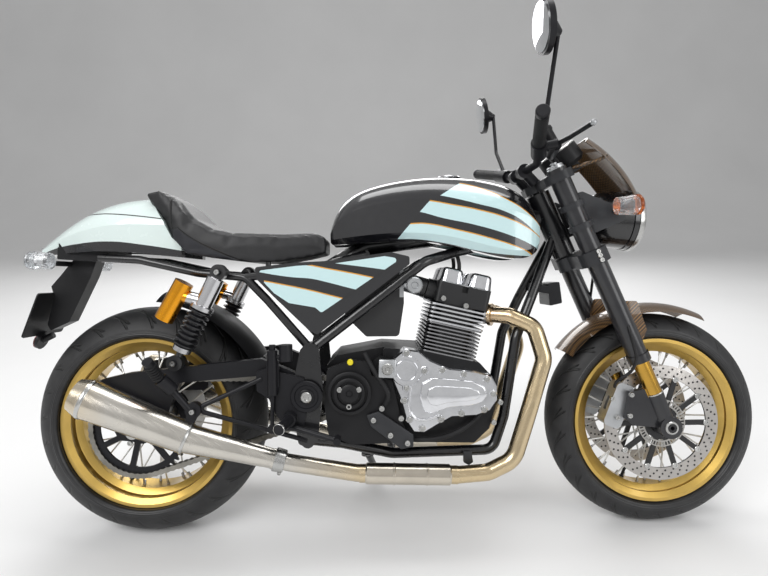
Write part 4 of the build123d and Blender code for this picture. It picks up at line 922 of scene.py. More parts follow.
@dataclass(frozen=True)
class SeatCover:
    """The seat's grained cover with its sewn seams and the darker base."""

    name: str
    colour: Colour = (0.012, 0.012, 0.013)
    base: Colour = (0.008, 0.009, 0.014)
    split: tuple[Point, ...] = (
        (108, 842), (150, 811), (211, 780), (263, 759), (294, 751), (366, 746), (439, 761), (489, 774)
    )
    width: float = 0.0035
    side_y: float = 0.085
    bolster_x: float = 0.089
    bolster_z: float = 0.80

    def make(self) -> Material:
        """Mix the finish.

        Returns:
            The material.
        """
        graph = Graph(self.name)
        x, y, z = graph.parts()
        line = graph.curve(x, self.split, 700.0, 900.0)
        above = graph.minus(z, line)
        side = graph.over(graph.unsigned(y), self.side_y)
        below = graph.times(graph.under(above, 0.0), side)
        near = graph.times(graph.span(graph.unsigned(above), self.width, 0.0), side)
        cross = graph.unsigned(graph.minus(x, self.bolster_x))
        bolster = graph.times(graph.span(cross, self.width, 0.0), graph.over(z, self.bolster_z))
        seam = graph.larger(near, bolster)
        pores = graph.noise(520.0, 4.0)
        creases = graph.noise(34.0, 5.0)
        tint = graph.mix(below, self.colour, self.base)
        tint = graph.mix(graph.span(creases, 0.35, 0.8, 0.0, 0.6), tint, tuple(part * 1.9 for part in self.colour))
        graph.colour(graph.mix(seam, tint, (0.002, 0.002, 0.002)))
        graph.rough(graph.span(pores, 0.3, 0.7, 0.42, 0.56))
        graph.fixed(Specular_IOR_Level=0.45)
        height = graph.plus(graph.times(pores, 0.16), graph.times(creases, 0.5))
        graph.bump(graph.minus(height, graph.times(seam, 1.6)), 0.0011)
        return graph.material


TANK_STRIPES = (
    Stripe(
        upper=((780, 968), (856, 961), (919, 943), (975, 917), (1029, 884), (1080, 838)),
        lower=((780, 929), (835, 918), (892, 904), (973, 882), (1023, 856), (1080, 806)),
        start=(800, 926),
        slope=1.5,
    ),
    Stripe(
        upper=((700, 914), (770, 910), (826, 900), (893, 887), (977, 864), (1043, 834), (1085, 806)),
        lower=((700, 889), (746, 882), (805, 866), (893, 847), (982, 821), (1044, 796), (1085, 774)),
        start=(746, 884),
        slope=0.9,
    ),
    Stripe(
        upper=((640, 848), (717, 850), (761, 850), (849, 832), (938, 809), (1010, 786), (1060, 764)),
        lower=((640, 812), (685, 812), (740, 811), (830, 797), (897, 781), (960, 771), (1060, 764)),
        start=(685, 811),
        slope=0.85,
    ),
)
PANEL_STRIPES = (
    Stripe(
        upper=((300, 800), (760, 800)),
        lower=((430, 760), (498, 750), (560, 742), (620, 734), (700, 722)),
        start=(440, 750),
    ),
    Stripe(
        upper=((300, 734), (360, 744), (430, 744), (504, 731), (581, 716), (660, 698)),
        lower=((300, 730), (375, 716), (414, 711), (460, 707), (499, 698), (548, 685), (660, 656)),
        start=(318, 730),
    ),
    Stripe(
        upper=((300, 707), (369, 694), (449, 677), (515, 660), (560, 648), (660, 620)),
        lower=((300, 600), (660, 560)),
        start=(336, 690),
    ),
)


@dataclass(frozen=True)
class Palette:
    """Every finish of the machine, made once."""

    gloss_black: Material
    frame_black: Material
    satin_black: Material
    case_black: Material
    yoke_grey: Material
    polished: Material
    satin_alloy: Material
    bolt_steel: Material
    soot: Material
    disc_steel: Material
    chain_steel: Material
    plastic: Material
    rubber: Material
    grip: Material
    carbon: Material
    lens: Material
    amber_lens: Material
    red_lens: Material
    mirror: Material
    tank: Material
    panel: Material
    cowl: Material
    fork: Material
    front_tyre: Material
    rear_tyre: Material
    dial: Material
    red: Material
    yellow: Material
    hose: Material
    wheel_front: Material
    wheel_rear: Material
    discs: Material
    shocks: Material
    head: Material
    intake: Material
    sleeve: Material
    exhaust: Material
    barrel: Material
    seat: Material
    lamp_face: Material
    pale: Material

    @classmethod
    def mixed(cls) -> "Palette":
        """Return the palette with each finish made."""
        return cls(
            gloss_black=Paint("gloss_black_paint", (0.004, 0.004, 0.005), rough=0.25, coat=0.7, dust=0.05).make(),
            frame_black=Paint("frame_black_paint", (0.004, 0.004, 0.005), rough=0.3, coat=0.45, dust=0.05).make(),
            satin_black=Powder("satin_black_coat", (0.009, 0.009, 0.011), rough=0.38, coat=0.15).make(),
            case_black=Powder(
                "crankcase_black_coat", (0.009, 0.009, 0.010), rough=0.42, grain=1300.0, coat=0.1
            ).make(),
            yoke_grey=Powder(
                "yoke_dark_grey_anodising", (0.030, 0.031, 0.034), rough=0.4, grain=1600.0, depth=0.00002, coat=0.2
            ).make(),
            polished=Metal(
                "polished_cover_alloy", linear(226, 227, 230), rough=0.16, grain=70.0, depth=0.00006, shade=0.12
            ).make(),
            satin_alloy=Metal(
                "cast_satin_alloy", linear(188, 190, 192), rough=0.38, grain=900.0, depth=0.00006, shade=0.2
            ).make(),
            bolt_steel=Metal("plated_bolt_steel", linear(196, 196, 194), rough=0.26, grain=700.0, shade=0.2).make(),
            soot=Powder("muffler_mouth_soot", (0.008, 0.007, 0.006), rough=0.8, coat=0.0).make(),
            disc_steel=Metal(
                "ground_disc_steel", linear(182, 180, 176), rough=0.3, grain=500.0, depth=0.00003, shade=0.16
            ).make(),
            chain_steel=Metal(
                "oiled_chain_steel", linear(150, 147, 140), rough=0.34, grain=500.0, shade=0.4
            ).make(),
            plastic=Powder(
                "moulded_black_plastic", (0.009, 0.009, 0.010), rough=0.45, grain=1800.0, depth=0.00003
            ).make(),
            rubber=Rubber("black_rubber").make(),
            grip=Rubber("ribbed_grip_rubber", ribs=230.0).make(),
            carbon=CarbonWeave("bronze_carbon_weave").make(),
            lens=Clear("clear_lamp_lens", ribs=160.0).make(),
            amber_lens=Clear("amber_bulb", colour=linear(240, 120, 20), rough=0.2).make(),
            red_lens=Clear("red_tail_lens", colour=linear(190, 10, 12), rough=0.1, ribs=160.0).make(),
            mirror=Metal("mirror_face", linear(236, 238, 240), rough=0.03, grain=5.0, depth=0.0, shade=0.03).make(),
            tank=StripedPaint(
                "striped_tank_paint", (0.006, 0.006, 0.008), rough=0.22, stripes=TANK_STRIPES, keep=(0.035, 5.0)
            ).make(),
            panel=StripedPaint(
                "striped_panel_paint", (0.006, 0.006, 0.008), rough=0.22, stripes=PANEL_STRIPES, keep=(0.1405, 5.0)
            ).make(),
            cowl=TwoTone(
                "pearl_cowl_paint",
                linear(222, 236, 233),
                rough=0.25,
                edge=((-310, 772), (-254, 790), (-170, 804), (-75, 809), (17, 799), (109, 784), (170, 772)),
                seam=((-94, 884), (-32, 879), (62, 868)),
            ).make(),
            fork=Zones(
                "fork_tube_black",
                (0.010, 0.010, 0.013),
                linear(204, 158, 62),
                (-math.sin(math.radians(RAKE_DEG)), 0.0, math.cos(math.radians(RAKE_DEG))),
                -109.8,
                band=98.0,
                across=(STEER_GROUND_X * math.cos(math.radians(RAKE_DEG)) + FORK_OFFSET, 23.0),
            ).make(),
            front_tyre=TyreRubber("front_tyre_rubber", (FRONT_AXLE.x, FRONT_AXLE.z), 300.0, 60.0, 26).make(),
            rear_tyre=TyreRubber("rear_tyre_rubber", (REAR_AXLE.x, REAR_AXLE.z), 315.0, 90.0, 24).make(),
            dial=Powder("dial_face", (0.012, 0.012, 0.013), rough=0.6).make(),
            red=Paint("red_switch", linear(190, 20, 26), rough=0.4, coat=0.3).make(),
            yellow=Paint("yellow_marker", linear(226, 208, 30), rough=0.4, coat=0.3).make(),
            hose=Rubber("brake_hose_cover", colour=(0.012, 0.012, 0.013), rough=0.4).make(),
            wheel_front=WheelMetal("front_wire_wheel", (FRONT_AXLE.x, FRONT_AXLE.z), 46.0).make(),
            wheel_rear=WheelMetal("rear_wire_wheel", (REAR_AXLE.x, REAR_AXLE.z), 62.0).make(),
            discs=DiscSteel("floating_discs", (FRONT_AXLE.x, FRONT_AXLE.z)).make(),
            shocks=Banded(
                "damper_bands",
                tuple(DAMPER_FOOT),
                tuple(DAMPER_TOP),
                (
                    (0.0, (0.012, 0.012, 0.013), 0.0, 0.35),
                    (34.0, linear(196, 196, 198), 1.0, 0.25),
                    (46.0, (0.010, 0.010, 0.012), 0.0, 0.28),
                    (152.0, linear(196, 196, 198), 1.0, 0.25),
                    (164.0, linear(206, 206, 208), 1.0, 0.2),
                    (240.0, (0.012, 0.012, 0.013), 0.0, 0.35),
                ),
            ).make(),
            head=HeadMetal("cylinder_head_metal").make(),
            intake=Banded(
                "intake_bands",
                (0.0, 0.0, 0.0),
                (1.0, 0.0, 0.0),
                (
                    (0.0, (0.010, 0.010, 0.011), 0.0, 0.45),
                    (692.0, linear(186, 188, 190), 1.0, 0.34),
                    (748.0, (0.012, 0.012, 0.013), 0.0, 0.5),
                ),
                beside=5000.0,
                above=655.0,
            ).make(),
            sleeve=Metal(
                "collector_sleeve_steel", linear(206, 198, 184), rough=0.2, grain=380.0, depth=0.00002, shade=0.12
            ).make(),
            exhaust=ExhaustSteel("exhaust_steel").make(),
            barrel=HeadMetal("cylinder_barrel_metal", bright=linear(150, 150, 152)).make(),
            seat=SeatCover("sewn_seat_cover").make(),
            lamp_face=Metal(
                "headlamp_face", linear(196, 204, 208), rough=0.08, grain=26.0, depth=0.0012, shade=0.35, coat=1.0
            ).make(),
            pale=Paint("pale_needle", linear(230, 230, 226), rough=0.5, coat=0.1).make(),
        )


def dress(node: str, material: Material) -> None:
    """Give a CAD node one finish.

    Args:
        node: The node's name.
        material: The finish.
    """
    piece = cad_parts[node]
    if not piece.material_slots:
        piece.data.materials.append(material)
    for place in piece.material_slots:
        place.material = material


@dataclass
class Studio:
    """The pale floor, the soft lights and the photograph's camera."""

    camera_place: tuple[float, float, float] = (-0.07647, -1.57710, 0.96999)
    camera_turn: tuple[float, float, float] = (78.616, 0.104, -1.433)
    lens: float = 24.73
    near_y: float = -12.0
    far_y: float = 6.0
    width: float = 40.0
    bend_r: float = 3.0
    bend_steps: int = 8
    wall: float = 9.0
    world_light: float = 0.36
    world_seen: float = 0.6

    def build(self) -> None:
        """Make the floor, backdrop, lights, world and camera."""
        self.floor()
        self.lights()
        self.camera()
        LOG.info("studio: floor, lights and camera")

    def floor(self) -> None:
        """Make a floor that sweeps up into a backdrop."""
        bpy.ops.object.select_all(action="DESELECT")
        bpy.ops.mesh.primitive_plane_add(size=1.0, location=(0.0, 0.0, 0.0))
        sweep = bpy.context.object
        sweep.name = "studio_floor"
        for vertex in sweep.data.vertices:
            vertex.co = Vector((vertex.co.x * self.width, self.near_y if vertex.co.y < 0 else self.far_y, 0.0))
        bpy.ops.object.mode_set(mode="EDIT")
        bpy.ops.mesh.select_mode(type="EDGE")
        bpy.ops.mesh.select_all(action="DESELECT")
        bpy.ops.object.mode_set(mode="OBJECT")
        for edge in sweep.data.edges:
            edge.select = all(sweep.data.vertices[i].co.y > self.far_y - 1.0 for i in edge.vertices)
        bpy.ops.object.mode_set(mode="EDIT")
        for step in range(self.bend_steps):
            last, turn = (math.radians(90.0 * i / self.bend_steps) for i in (step, step + 1))
            reach = self.bend_r * (math.sin(turn) - math.sin(last))
            rise = self.bend_r * (math.cos(last) - math.cos(turn))
            bpy.ops.mesh.extrude_region_move(TRANSFORM_OT_translate={"value": (0.0, reach, rise)})
        bpy.ops.mesh.extrude_region_move(TRANSFORM_OT_translate={"value": (0.0, 0.0, self.wall)})
        bpy.ops.mesh.select_all(action="SELECT")
        bpy.ops.mesh.normals_make_consistent(inside=False)
        bpy.ops.object.mode_set(mode="OBJECT")
        bpy.ops.object.shade_smooth()
        graph = Graph("studio_floor_paint")
        graph.colour(
            graph.mix(graph.span(graph.noise(0.7, 3.0), 0.3, 0.7), linear(232, 232, 232), linear(238, 238, 238))
        )
        graph.fixed(Roughness=0.75)
        sweep.data.materials.append(graph.material)

    def lights(self) -> None:
        """Make soft area lights and an even world."""
        for name, place, aim, size, power in (
            ("key_light", (-2.2, -3.2, 3.6), (0.0, 0.0, 0.5), (3.0, 2.0), 120.0),
            ("fill_light", (3.4, -3.4, 2.2), (0.1, 0.0, 0.5), (2.4, 2.4), 55.0),
            ("top_light", (0.2, 0.6, 4.4), (0.0, 0.0, 0.4), (4.5, 1.6), 90.0),
            ("back_light", (0.0, 4.2, 2.6), (0.0, 0.0, 0.6), (5.0, 1.6), 110.0),
        ):
            lamp = bpy.data.lights.new(name, "AREA")
            lamp.shape = "RECTANGLE"
            lamp.size, lamp.size_y = size
            lamp.energy = power
            holder = bpy.data.objects.new(name, lamp)
            bpy.context.collection.objects.link(holder)
            holder.location = place
            holder.rotation_euler = (Vector(aim) - Vector(place)).to_track_quat("-Z", "Y").to_euler()
        world = bpy.data.worlds.new("studio_world")
        bpy.context.scene.world = world
        world.use_nodes = True
        tree = world.node_tree
        back = tree.nodes["Background"]
        paths = tree.nodes.new("ShaderNodeLightPath")
        seen = paths.outputs["Is Camera Ray"]
        for ray in ("Is Transmission Ray", "Is Glossy Ray"):
            either = tree.nodes.new("ShaderNodeMath")
            either.operation = "MAXIMUM"
            tree.links.new(seen, either.inputs[0])
            tree.links.new(paths.outputs[ray], either.inputs[1])
            seen = either.outputs[0]
        level = tree.nodes.new("ShaderNodeMapRange")
        level.inputs["To Min"].default_value = self.world_light
        level.inputs["To Max"].default_value = self.world_seen
        tree.links.new(seen, level.inputs["Value"])
        back.inputs["Color"].default_value = (1.0, 1.0, 1.0, 1.0)
        tree.links.new(level.outputs[0], back.inputs["Strength"])
        bpy.context.scene.view_settings.view_transform = "Standard"

    def camera(self) -> None:
        """Make the camera at the photograph's place."""
        view = bpy.data.cameras.new("photo_camera")
        view.lens = self.lens
        view.sensor_width = 36.0
        view.clip_end = 60.0
        holder = bpy.data.objects.new("photo_camera", view)
        bpy.context.collection.objects.link(holder)
        holder.location = self.camera_place
        holder.rotation_euler = tuple(math.radians(turn) for turn in self.camera_turn)
        bpy.context.scene.camera = holder


def dress_nodes(palette: Palette) -> None:
    """Give every CAD node its finish.

    Args:
        palette: The finishes.
    """
    for node, material in {
        "main_frame": palette.frame_black,
        "swingarm": palette.satin_black,
        "crankcase": palette.case_black,
        "cylinder_barrel": palette.barrel,
        "cylinder_head": palette.head,
        "rocker_covers": palette.polished,
        "timing_cover": palette.polished,
        "sprocket_cover": palette.case_black,
        "intake": palette.intake,
        "exhaust_right": palette.exhaust,
        "exhaust_left": palette.exhaust,
        "fuel_tank": palette.tank,
        "seat": palette.seat,
        "tail_cowl": palette.cowl,
        "side_panels": palette.panel,
        "shocks": palette.shocks,
        "plate_hanger": palette.plastic,
        "rear_lamps": palette.lens,
        "rear_mudguard": palette.plastic,
        "hanger_right": palette.satin_black,
        "hanger_left": palette.satin_black,
        "chain": palette.chain_steel,
        "rear_axle": palette.bolt_steel,
        "rear_caliper": palette.satin_black,
        "regulator": palette.satin_black,
        "yokes": palette.yoke_grey,
        "fork_legs": palette.fork,
        "handlebar": palette.satin_black,
        "grips": palette.grip,
        "hand_controls": palette.satin_black,
        "mirrors": palette.satin_black,
        "headlamp": palette.gloss_black,
        "flyscreen": palette.carbon,
        "instruments": palette.plastic,
        "front_indicators": palette.lens,
        "front_mudguard": palette.carbon,
        "front_calipers": palette.satin_alloy,
        "brake_hoses": palette.hose,
        "front_tyre": palette.front_tyre,
        "front_wheel": palette.wheel_front,
        "front_discs": palette.discs,
        "rear_tyre": palette.rear_tyre,
        "rear_wheel": palette.wheel_rear,
        "rear_sprocket": palette.satin_black,
        "side_stand": palette.satin_black,
    }.items():
        dress(node, material)
    LOG.info("finishes on %d nodes", len(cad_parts))


class Bench:
    """Modelling steps shared by the sub-assemblies, in upright millimetres."""

    @staticmethod
    def clear() -> None:
        """Leave edit mode and deselect everything."""
        if bpy.context.object is not None and bpy.context.object.mode != "OBJECT":
            bpy.ops.object.mode_set(mode="OBJECT")
        bpy.ops.object.select_all(action="DESELECT")

    @staticmethod
    def choose(piece: Piece) -> None:
        """Select one piece alone and make it active.

        Args:
            piece: The piece.
        """
        Bench.clear()
        piece.select_set(True)
        bpy.context.view_layer.objects.active = piece

    @staticmethod
    def aim(place: Point, direction: Point) -> Matrix:
        """Return the matrix that puts a +Z model at a place, pointing along a direction."""
        return Matrix.Translation(Vector(place)) @ Vector(direction).to_track_quat("Z", "Y").to_matrix().to_4x4()

    @staticmethod
    def turned(
        name: str, start: Point, towards: Point, profile: Sequence[Point], segments: int = 32, ring: bool = False
    ) -> Piece:
        """Model a turned piece by extruding and resizing a circle along its axis.

        Args:
            name: The piece's name.
            start: Where the profile's zero lies.
            towards: A point that the axis runs to.
            profile: Pairs of distance along the axis and radius.
            segments: Sides of the circle.
            ring: Whether the profile closes on itself round a hole.

        Returns:
            The piece.
        """
        Bench.clear()
        steps = [*profile, profile[0]] if ring else list(profile)
        bpy.ops.mesh.primitive_circle_add(
            vertices=segments, radius=steps[0][1], fill_type="NOTHING" if ring else "NGON"
        )
        piece = bpy.context.object
        piece.name = name
        piece.data.transform(Matrix.Translation((0.0, 0.0, steps[0][0])))
        bpy.ops.object.mode_set(mode="EDIT")
        bpy.ops.mesh.select_all(action="SELECT")
        for (last, wide), (here, narrow) in zip(steps, steps[1:]):
            bpy.ops.mesh.extrude_region_move(TRANSFORM_OT_translate={"value": (0.0, 0.0, here - last)})
            if narrow != wide:
                ratio = narrow / wide
                bpy.ops.transform.resize(value=(ratio, ratio, 1.0), center_override=(0.0, 0.0, here))
        bpy.ops.mesh.select_all(action="SELECT")
        bpy.ops.mesh.remove_doubles(threshold=0.001)
        bpy.ops.mesh.normals_make_consistent(inside=False)
        bpy.ops.object.mode_set(mode="OBJECT")
        piece.data.transform(Bench.aim(start, Vector(towards) - Vector(start)))
        return piece

    @staticmethod
    def slab(
        name: str, outline: Sequence[Point], low_y: float, high_y: float, edge: float = 0.0, rounds: int = 2
    ) -> Piece:
        """Extrude an outline of X and Z across Y and round its edges.

        Args:
            name: The piece's name.
            outline: The corners in order.
            low_y: The near face.
            high_y: The far face.
            edge: The rounding's width.
            rounds: Segments in the rounding.

        Returns:
            The piece.
        """
        Bench.clear()
        bpy.ops.mesh.primitive_circle_add(vertices=len(outline), radius=1.0, fill_type="NGON")
        piece = bpy.context.object
        piece.name = name
        for vertex, (x, z) in zip(piece.data.vertices, outline):
            vertex.co = (x, low_y, z)
        bpy.ops.object.mode_set(mode="EDIT")
        bpy.ops.mesh.select_all(action="SELECT")
        bpy.ops.mesh.extrude_region_move(TRANSFORM_OT_translate={"value": (0.0, high_y - low_y, 0.0)})
        bpy.ops.mesh.select_all(action="SELECT")
        bpy.ops.mesh.normals_make_consistent(inside=False)
        bpy.ops.object.mode_set(mode="OBJECT")
        if edge > 0:
            Bench.soften(piece, edge, rounds)
        return piece

    @staticmethod
    def soften(piece: Piece, width: float, rounds: int = 2, angle: float = 30.0) -> None:
        """Round the edges that are sharper than an angle.

        Args:
            piece: The piece.
            width: The rounding's width.
            rounds: Segments in the rounding.
            angle: The least angle that is rounded, in degrees.
        """
        Bench.choose(piece)
        bevel = piece.modifiers.new("rounding", "BEVEL")
        bevel.width = width
        bevel.segments = rounds
        bevel.limit_method = "ANGLE"
        bevel.angle_limit = math.radians(angle)
        bpy.ops.object.modifier_apply(modifier=bevel.name)

    @staticmethod
    def bolt(radius: float, height: float) -> Piece:
        """Model one socket-head bolt along +Z from the origin, with its chamfer and socket.

        Args:
            radius: The head's radius.
            height: The head's height.

        Returns:
            The bolt's head.
        """
        Bench.clear()
        bpy.ops.mesh.primitive_circle_add(vertices=12, radius=radius, fill_type="NGON")
        head = bpy.context.object
        bpy.ops.object.mode_set(mode="EDIT")
        bpy.ops.mesh.select_all(action="SELECT")
        bpy.ops.mesh.extrude_region_move(TRANSFORM_OT_translate={"value": (0.0, 0.0, height * 0.82)})
        bpy.ops.mesh.extrude_region_move(TRANSFORM_OT_translate={"value": (0.0, 0.0, height * 0.18)})
        bpy.ops.transform.resize(value=(0.88, 0.88, 1.0), center_override=(0.0, 0.0, height))
        bpy.ops.mesh.inset(thickness=radius * 0.38)
        bpy.ops.mesh.extrude_region_move(TRANSFORM_OT_translate={"value": (0.0, 0.0, -height * 0.5)})
        bpy.ops.mesh.select_all(action="SELECT")
        bpy.ops.mesh.normals_make_consistent(inside=False)
        bpy.ops.object.mode_set(mode="OBJECT")
        return head

    @staticmethod
    def copied(name: str, model: Piece, places: Iterable[Matrix]) -> Piece:
        """Copy a model to each place, each copy with its own mesh, and join the copies.

        Args:
            name: The joined piece's name.
            model: What is copied; it is removed afterwards.
            places: Where each copy goes.

        Returns:
            The joined piece.
        """
        copies = []
        for place in places:
            twin = model.copy()
            twin.data = model.data.copy()
            twin.data.transform(place)
            bpy.context.collection.objects.link(twin)
            copies.append(twin)
        bpy.data.objects.remove(model)
        Bench.choose(copies[0])
        for twin in copies:
            twin.select_set(True)
        if len(copies) > 1:
            bpy.ops.object.join()
        copies[0].name = name
        return copies[0]

    @staticmethod
    def joined(name: str, pieces: Sequence[Piece]) -> Piece:
        """Join pieces of one finish into one object.

        Args:
            name: The joined piece's name.
            pieces: What is joined.

        Returns:
            The joined piece.
        """
        Bench.choose(pieces[0])
        for piece in pieces:
            piece.select_set(True)
        if len(pieces) > 1:
            bpy.ops.object.join()
        pieces[0].name = name
        return pieces[0]

    @staticmethod
    def run(name: str, points: Sequence[Point], radius: float, sides: int = 4) -> Piece:
        """Lay a hose, lead or rod along a smooth curve and make it a closed mesh.

        Args:
            name: The piece's name.
            points: The curve's control points.
            radius: The hose's radius.
            sides: How finely it is rounded.

        Returns:
            The piece.
        """
        Bench.clear()
        line = bpy.data.curves.new(name, "CURVE")
        line.dimensions = "3D"
        line.bevel_depth = radius
        line.bevel_resolution = sides
        line.use_fill_caps = True
        spline = line.splines.new("NURBS")
        spline.points.add(len(points) - 1)
        for knot, place in zip(spline.points, points):
            knot.co = (*place, 1.0)
        spline.order_u = 3
        spline.use_endpoint_u = True
        spline.resolution_u = 8
        piece = bpy.data.objects.new(name, line)
        bpy.context.collection.objects.link(piece)
        Bench.choose(piece)
        bpy.ops.object.convert(target="MESH")
        piece = bpy.context.object
        bpy.ops.object.mode_set(mode="EDIT")
        bpy.ops.mesh.select_all(action="SELECT")
        bpy.ops.mesh.remove_doubles(threshold=0.001)
        bpy.ops.mesh.normals_make_consistent(inside=False)
        bpy.ops.object.mode_set(mode="OBJECT")
        return piece

    @staticmethod
    def finish(piece: Piece, material: Material, body: Body, slot: Slot, smooth: float = 35.0) -> Piece:
        """Park a piece, dress it and make it ride.

        Args:
            piece: The piece, in upright millimetres.
            material: Its finish.
            body: The body that it rides on.
            slot: A material slot name; not used.
            smooth: The angle up to which its faces are shaded smooth.

        Returns:
            The piece.
        """
        piece.data.transform(PARK)
        piece.data.materials.clear()
        piece.data.materials.append(material)
        Bench.choose(piece)
        bpy.ops.object.shade_smooth_by_angle(angle=math.radians(smooth))
        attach(piece, body.value)
        LOG.info("piece %s: %d faces", piece.name, len(piece.data.polygons))
        return piece


@dataclass(frozen=True)
class SteeringLine:
    """The steering axis, from which the fork's places are measured."""

    rake_deg: float = RAKE_DEG
    ground_x: float = STEER_GROUND_X
    offset: float = FORK_OFFSET
    leg_y: float = 107.0

    def point(self, u: float, v: float, w: float) -> Vector:
        """Return a place: u ahead of the axis, v to the left, w up along it."""
        rake = math.radians(self.rake_deg)
        return Vector(
            (self.ground_x + u * math.cos(rake) - w * math.sin(rake), v, u * math.sin(rake) + w * math.cos(rake))
        )

    def leg(self, side: int, w: float) -> Vector:
        """Return a place on a fork leg's line."""
        return self.point(self.offset, side * self.leg_y, w)


STEER = SteeringLine()


@dataclass
class Wheels:
    """Spoke nipples, valves, disc buttons and sensor ring."""

    palette: Palette
    spokes: int = 36
    well_r: float = 192.5
    disc_y: float = 76.0
    disc_wall: float = 5.0
    button_r: float = 126.0
    button_count: int = 10
    ring_teeth: int = 44
    valve_deg: float = 247.0

    def build(self) -> None:
        """Build both wheels' small parts."""
        self.nipples("front_nipples", FRONT_AXLE, Body.FRONT_WHEEL, 10.2)
        self.nipples("rear_nipples", REAR_AXLE, Body.REAR_WHEEL, 15.2)
        self.valve("front_valve", FRONT_AXLE, Body.FRONT_WHEEL)
        self.valve("rear_valve", REAR_AXLE, Body.REAR_WHEEL)
        self.buttons()
        self.sensor_ring()
        self.sprocket_bolts()

    def nipples(self, name: str, axle: Vector, body: Body, lean: float) -> None:
        """Set a nipple where each spoke meets the rim's well.

        Args:
            name: The piece's name.
            axle: The wheel's centre.
            body: The wheel's body.
            lean: How far a nipple sits from the rim's middle.
        """
        model = Bench.turned(
            "nipple", (0, 0, 0), (0, 0, 1), ((-9, 2.6), (-8, 3.4), (-1, 3.6), (2, 4.6), (4, 4.6)), 8
        )
        places = []
        for i in range(self.spokes):
            turn = 2 * math.pi * i / self.spokes
            out = Vector((math.cos(turn), 0.0, math.sin(turn)))
            side = 1 if i % 2 else -1
            places.append(Bench.aim(axle + out * (self.well_r - 4) + Vector((0, side * lean, 0)), out))
        Bench.finish(Bench.copied(name, model, places), self.palette.bolt_steel, body, Slot.AXLE)

    def valve(self, name: str, axle: Vector, body: Body) -> None:
        """Stand the tyre's valve on the rim's well.

        Args:
            name: The piece's name.
            axle: The wheel's centre.
            body: The wheel's body.
        """
        turn = math.radians(self.valve_deg)
        out = Vector((math.cos(turn), 0.0, math.sin(turn)))
        foot = axle + out * (self.well_r + 1)
        stem = Bench.turned(
            name, foot, foot - out, ((0, 6.5), (3, 6.5), (4, 4), (24, 4), (24.5, 5), (36, 5), (38, 3.5)), 12
        )
        Bench.finish(stem, self.palette.rubber, body, Slot.GRIP)

    def buttons(self) -> None:
        """Rivet ten floating buttons round each front disc."""
        model = Bench.turned(
            "button", (0, 0, 0), (0, 0, 1), ((0, 8.4), (2.2, 8.4), (3, 7.4), (3, 4.6), (1.2, 4.2)), 14
        )
        places = []
        for side in (-1, 1):
            face = side * (self.disc_y + self.disc_wall / 2)
            for i in range(self.button_count):
                turn = 2 * math.pi * i / self.button_count
                at = FRONT_AXLE + Vector((math.cos(turn) * self.button_r, face, math.sin(turn) * self.button_r))
                places.append(Bench.aim(at, (0, side, 0)))
        Bench.finish(
            Bench.copied("disc_buttons", model, places), self.palette.bolt_steel, Body.FRONT_WHEEL, Slot.DISC
        )

    def sensor_ring(self) -> None:
        """Make the slotted speed ring inside the right-hand disc."""
        face = -(self.disc_y + self.disc_wall / 2)
        start = FRONT_AXLE + Vector((0, face, 0))
        rims = [
            Bench.turned(
                "ring_out",
                start,
                start + Vector((0, -1, 0)),
                ((0, 63), (0, 66), (2.4, 66), (2.4, 63)),
                64,
                ring=True,
            ),
            Bench.turned(
                "ring_in",
                start,
                start + Vector((0, -1, 0)),
                ((0, 49), (0, 53), (2.4, 53), (2.4, 49)),
                64,
                ring=True,
            ),
        ]
        tooth = Bench.slab("tooth", ((52.5, -1.5), (63.5, -1.9), (63.5, 1.9), (52.5, 1.5)), face - 2.2, face - 0.4)
        places = [
            Matrix.Translation((FRONT_AXLE.x, 0, FRONT_AXLE.z)) @ Matrix.Rotation(
                2 * math.pi * i / self.ring_teeth, 4, "Y"
            ) for i in range(self.ring_teeth)
        ]
        teeth = Bench.copied("teeth", tooth, places)
        Bench.finish(
            Bench.joined("front_sensor_ring", [*rims, teeth]), self.palette.disc_steel, Body.FRONT_WHEEL, Slot.DISC
        )

    def sprocket_bolts(self) -> None:
        """Bolt the sprocket to the rear hub."""
        model = Bench.bolt(7.0, 6.0)
        places = []
        for i in range(5):
            turn = math.radians(72 * i + 20)
            at = REAR_AXLE + Vector((math.cos(turn) * 50, -108 - 3.4, math.sin(turn) * 50))
            places.append(Bench.aim(at, (0, -1, 0)))
        Bench.finish(
            Bench.copied("sprocket_bolts", model, places), self.palette.bolt_steel, Body.REAR_WHEEL, Slot.AXLE
        )


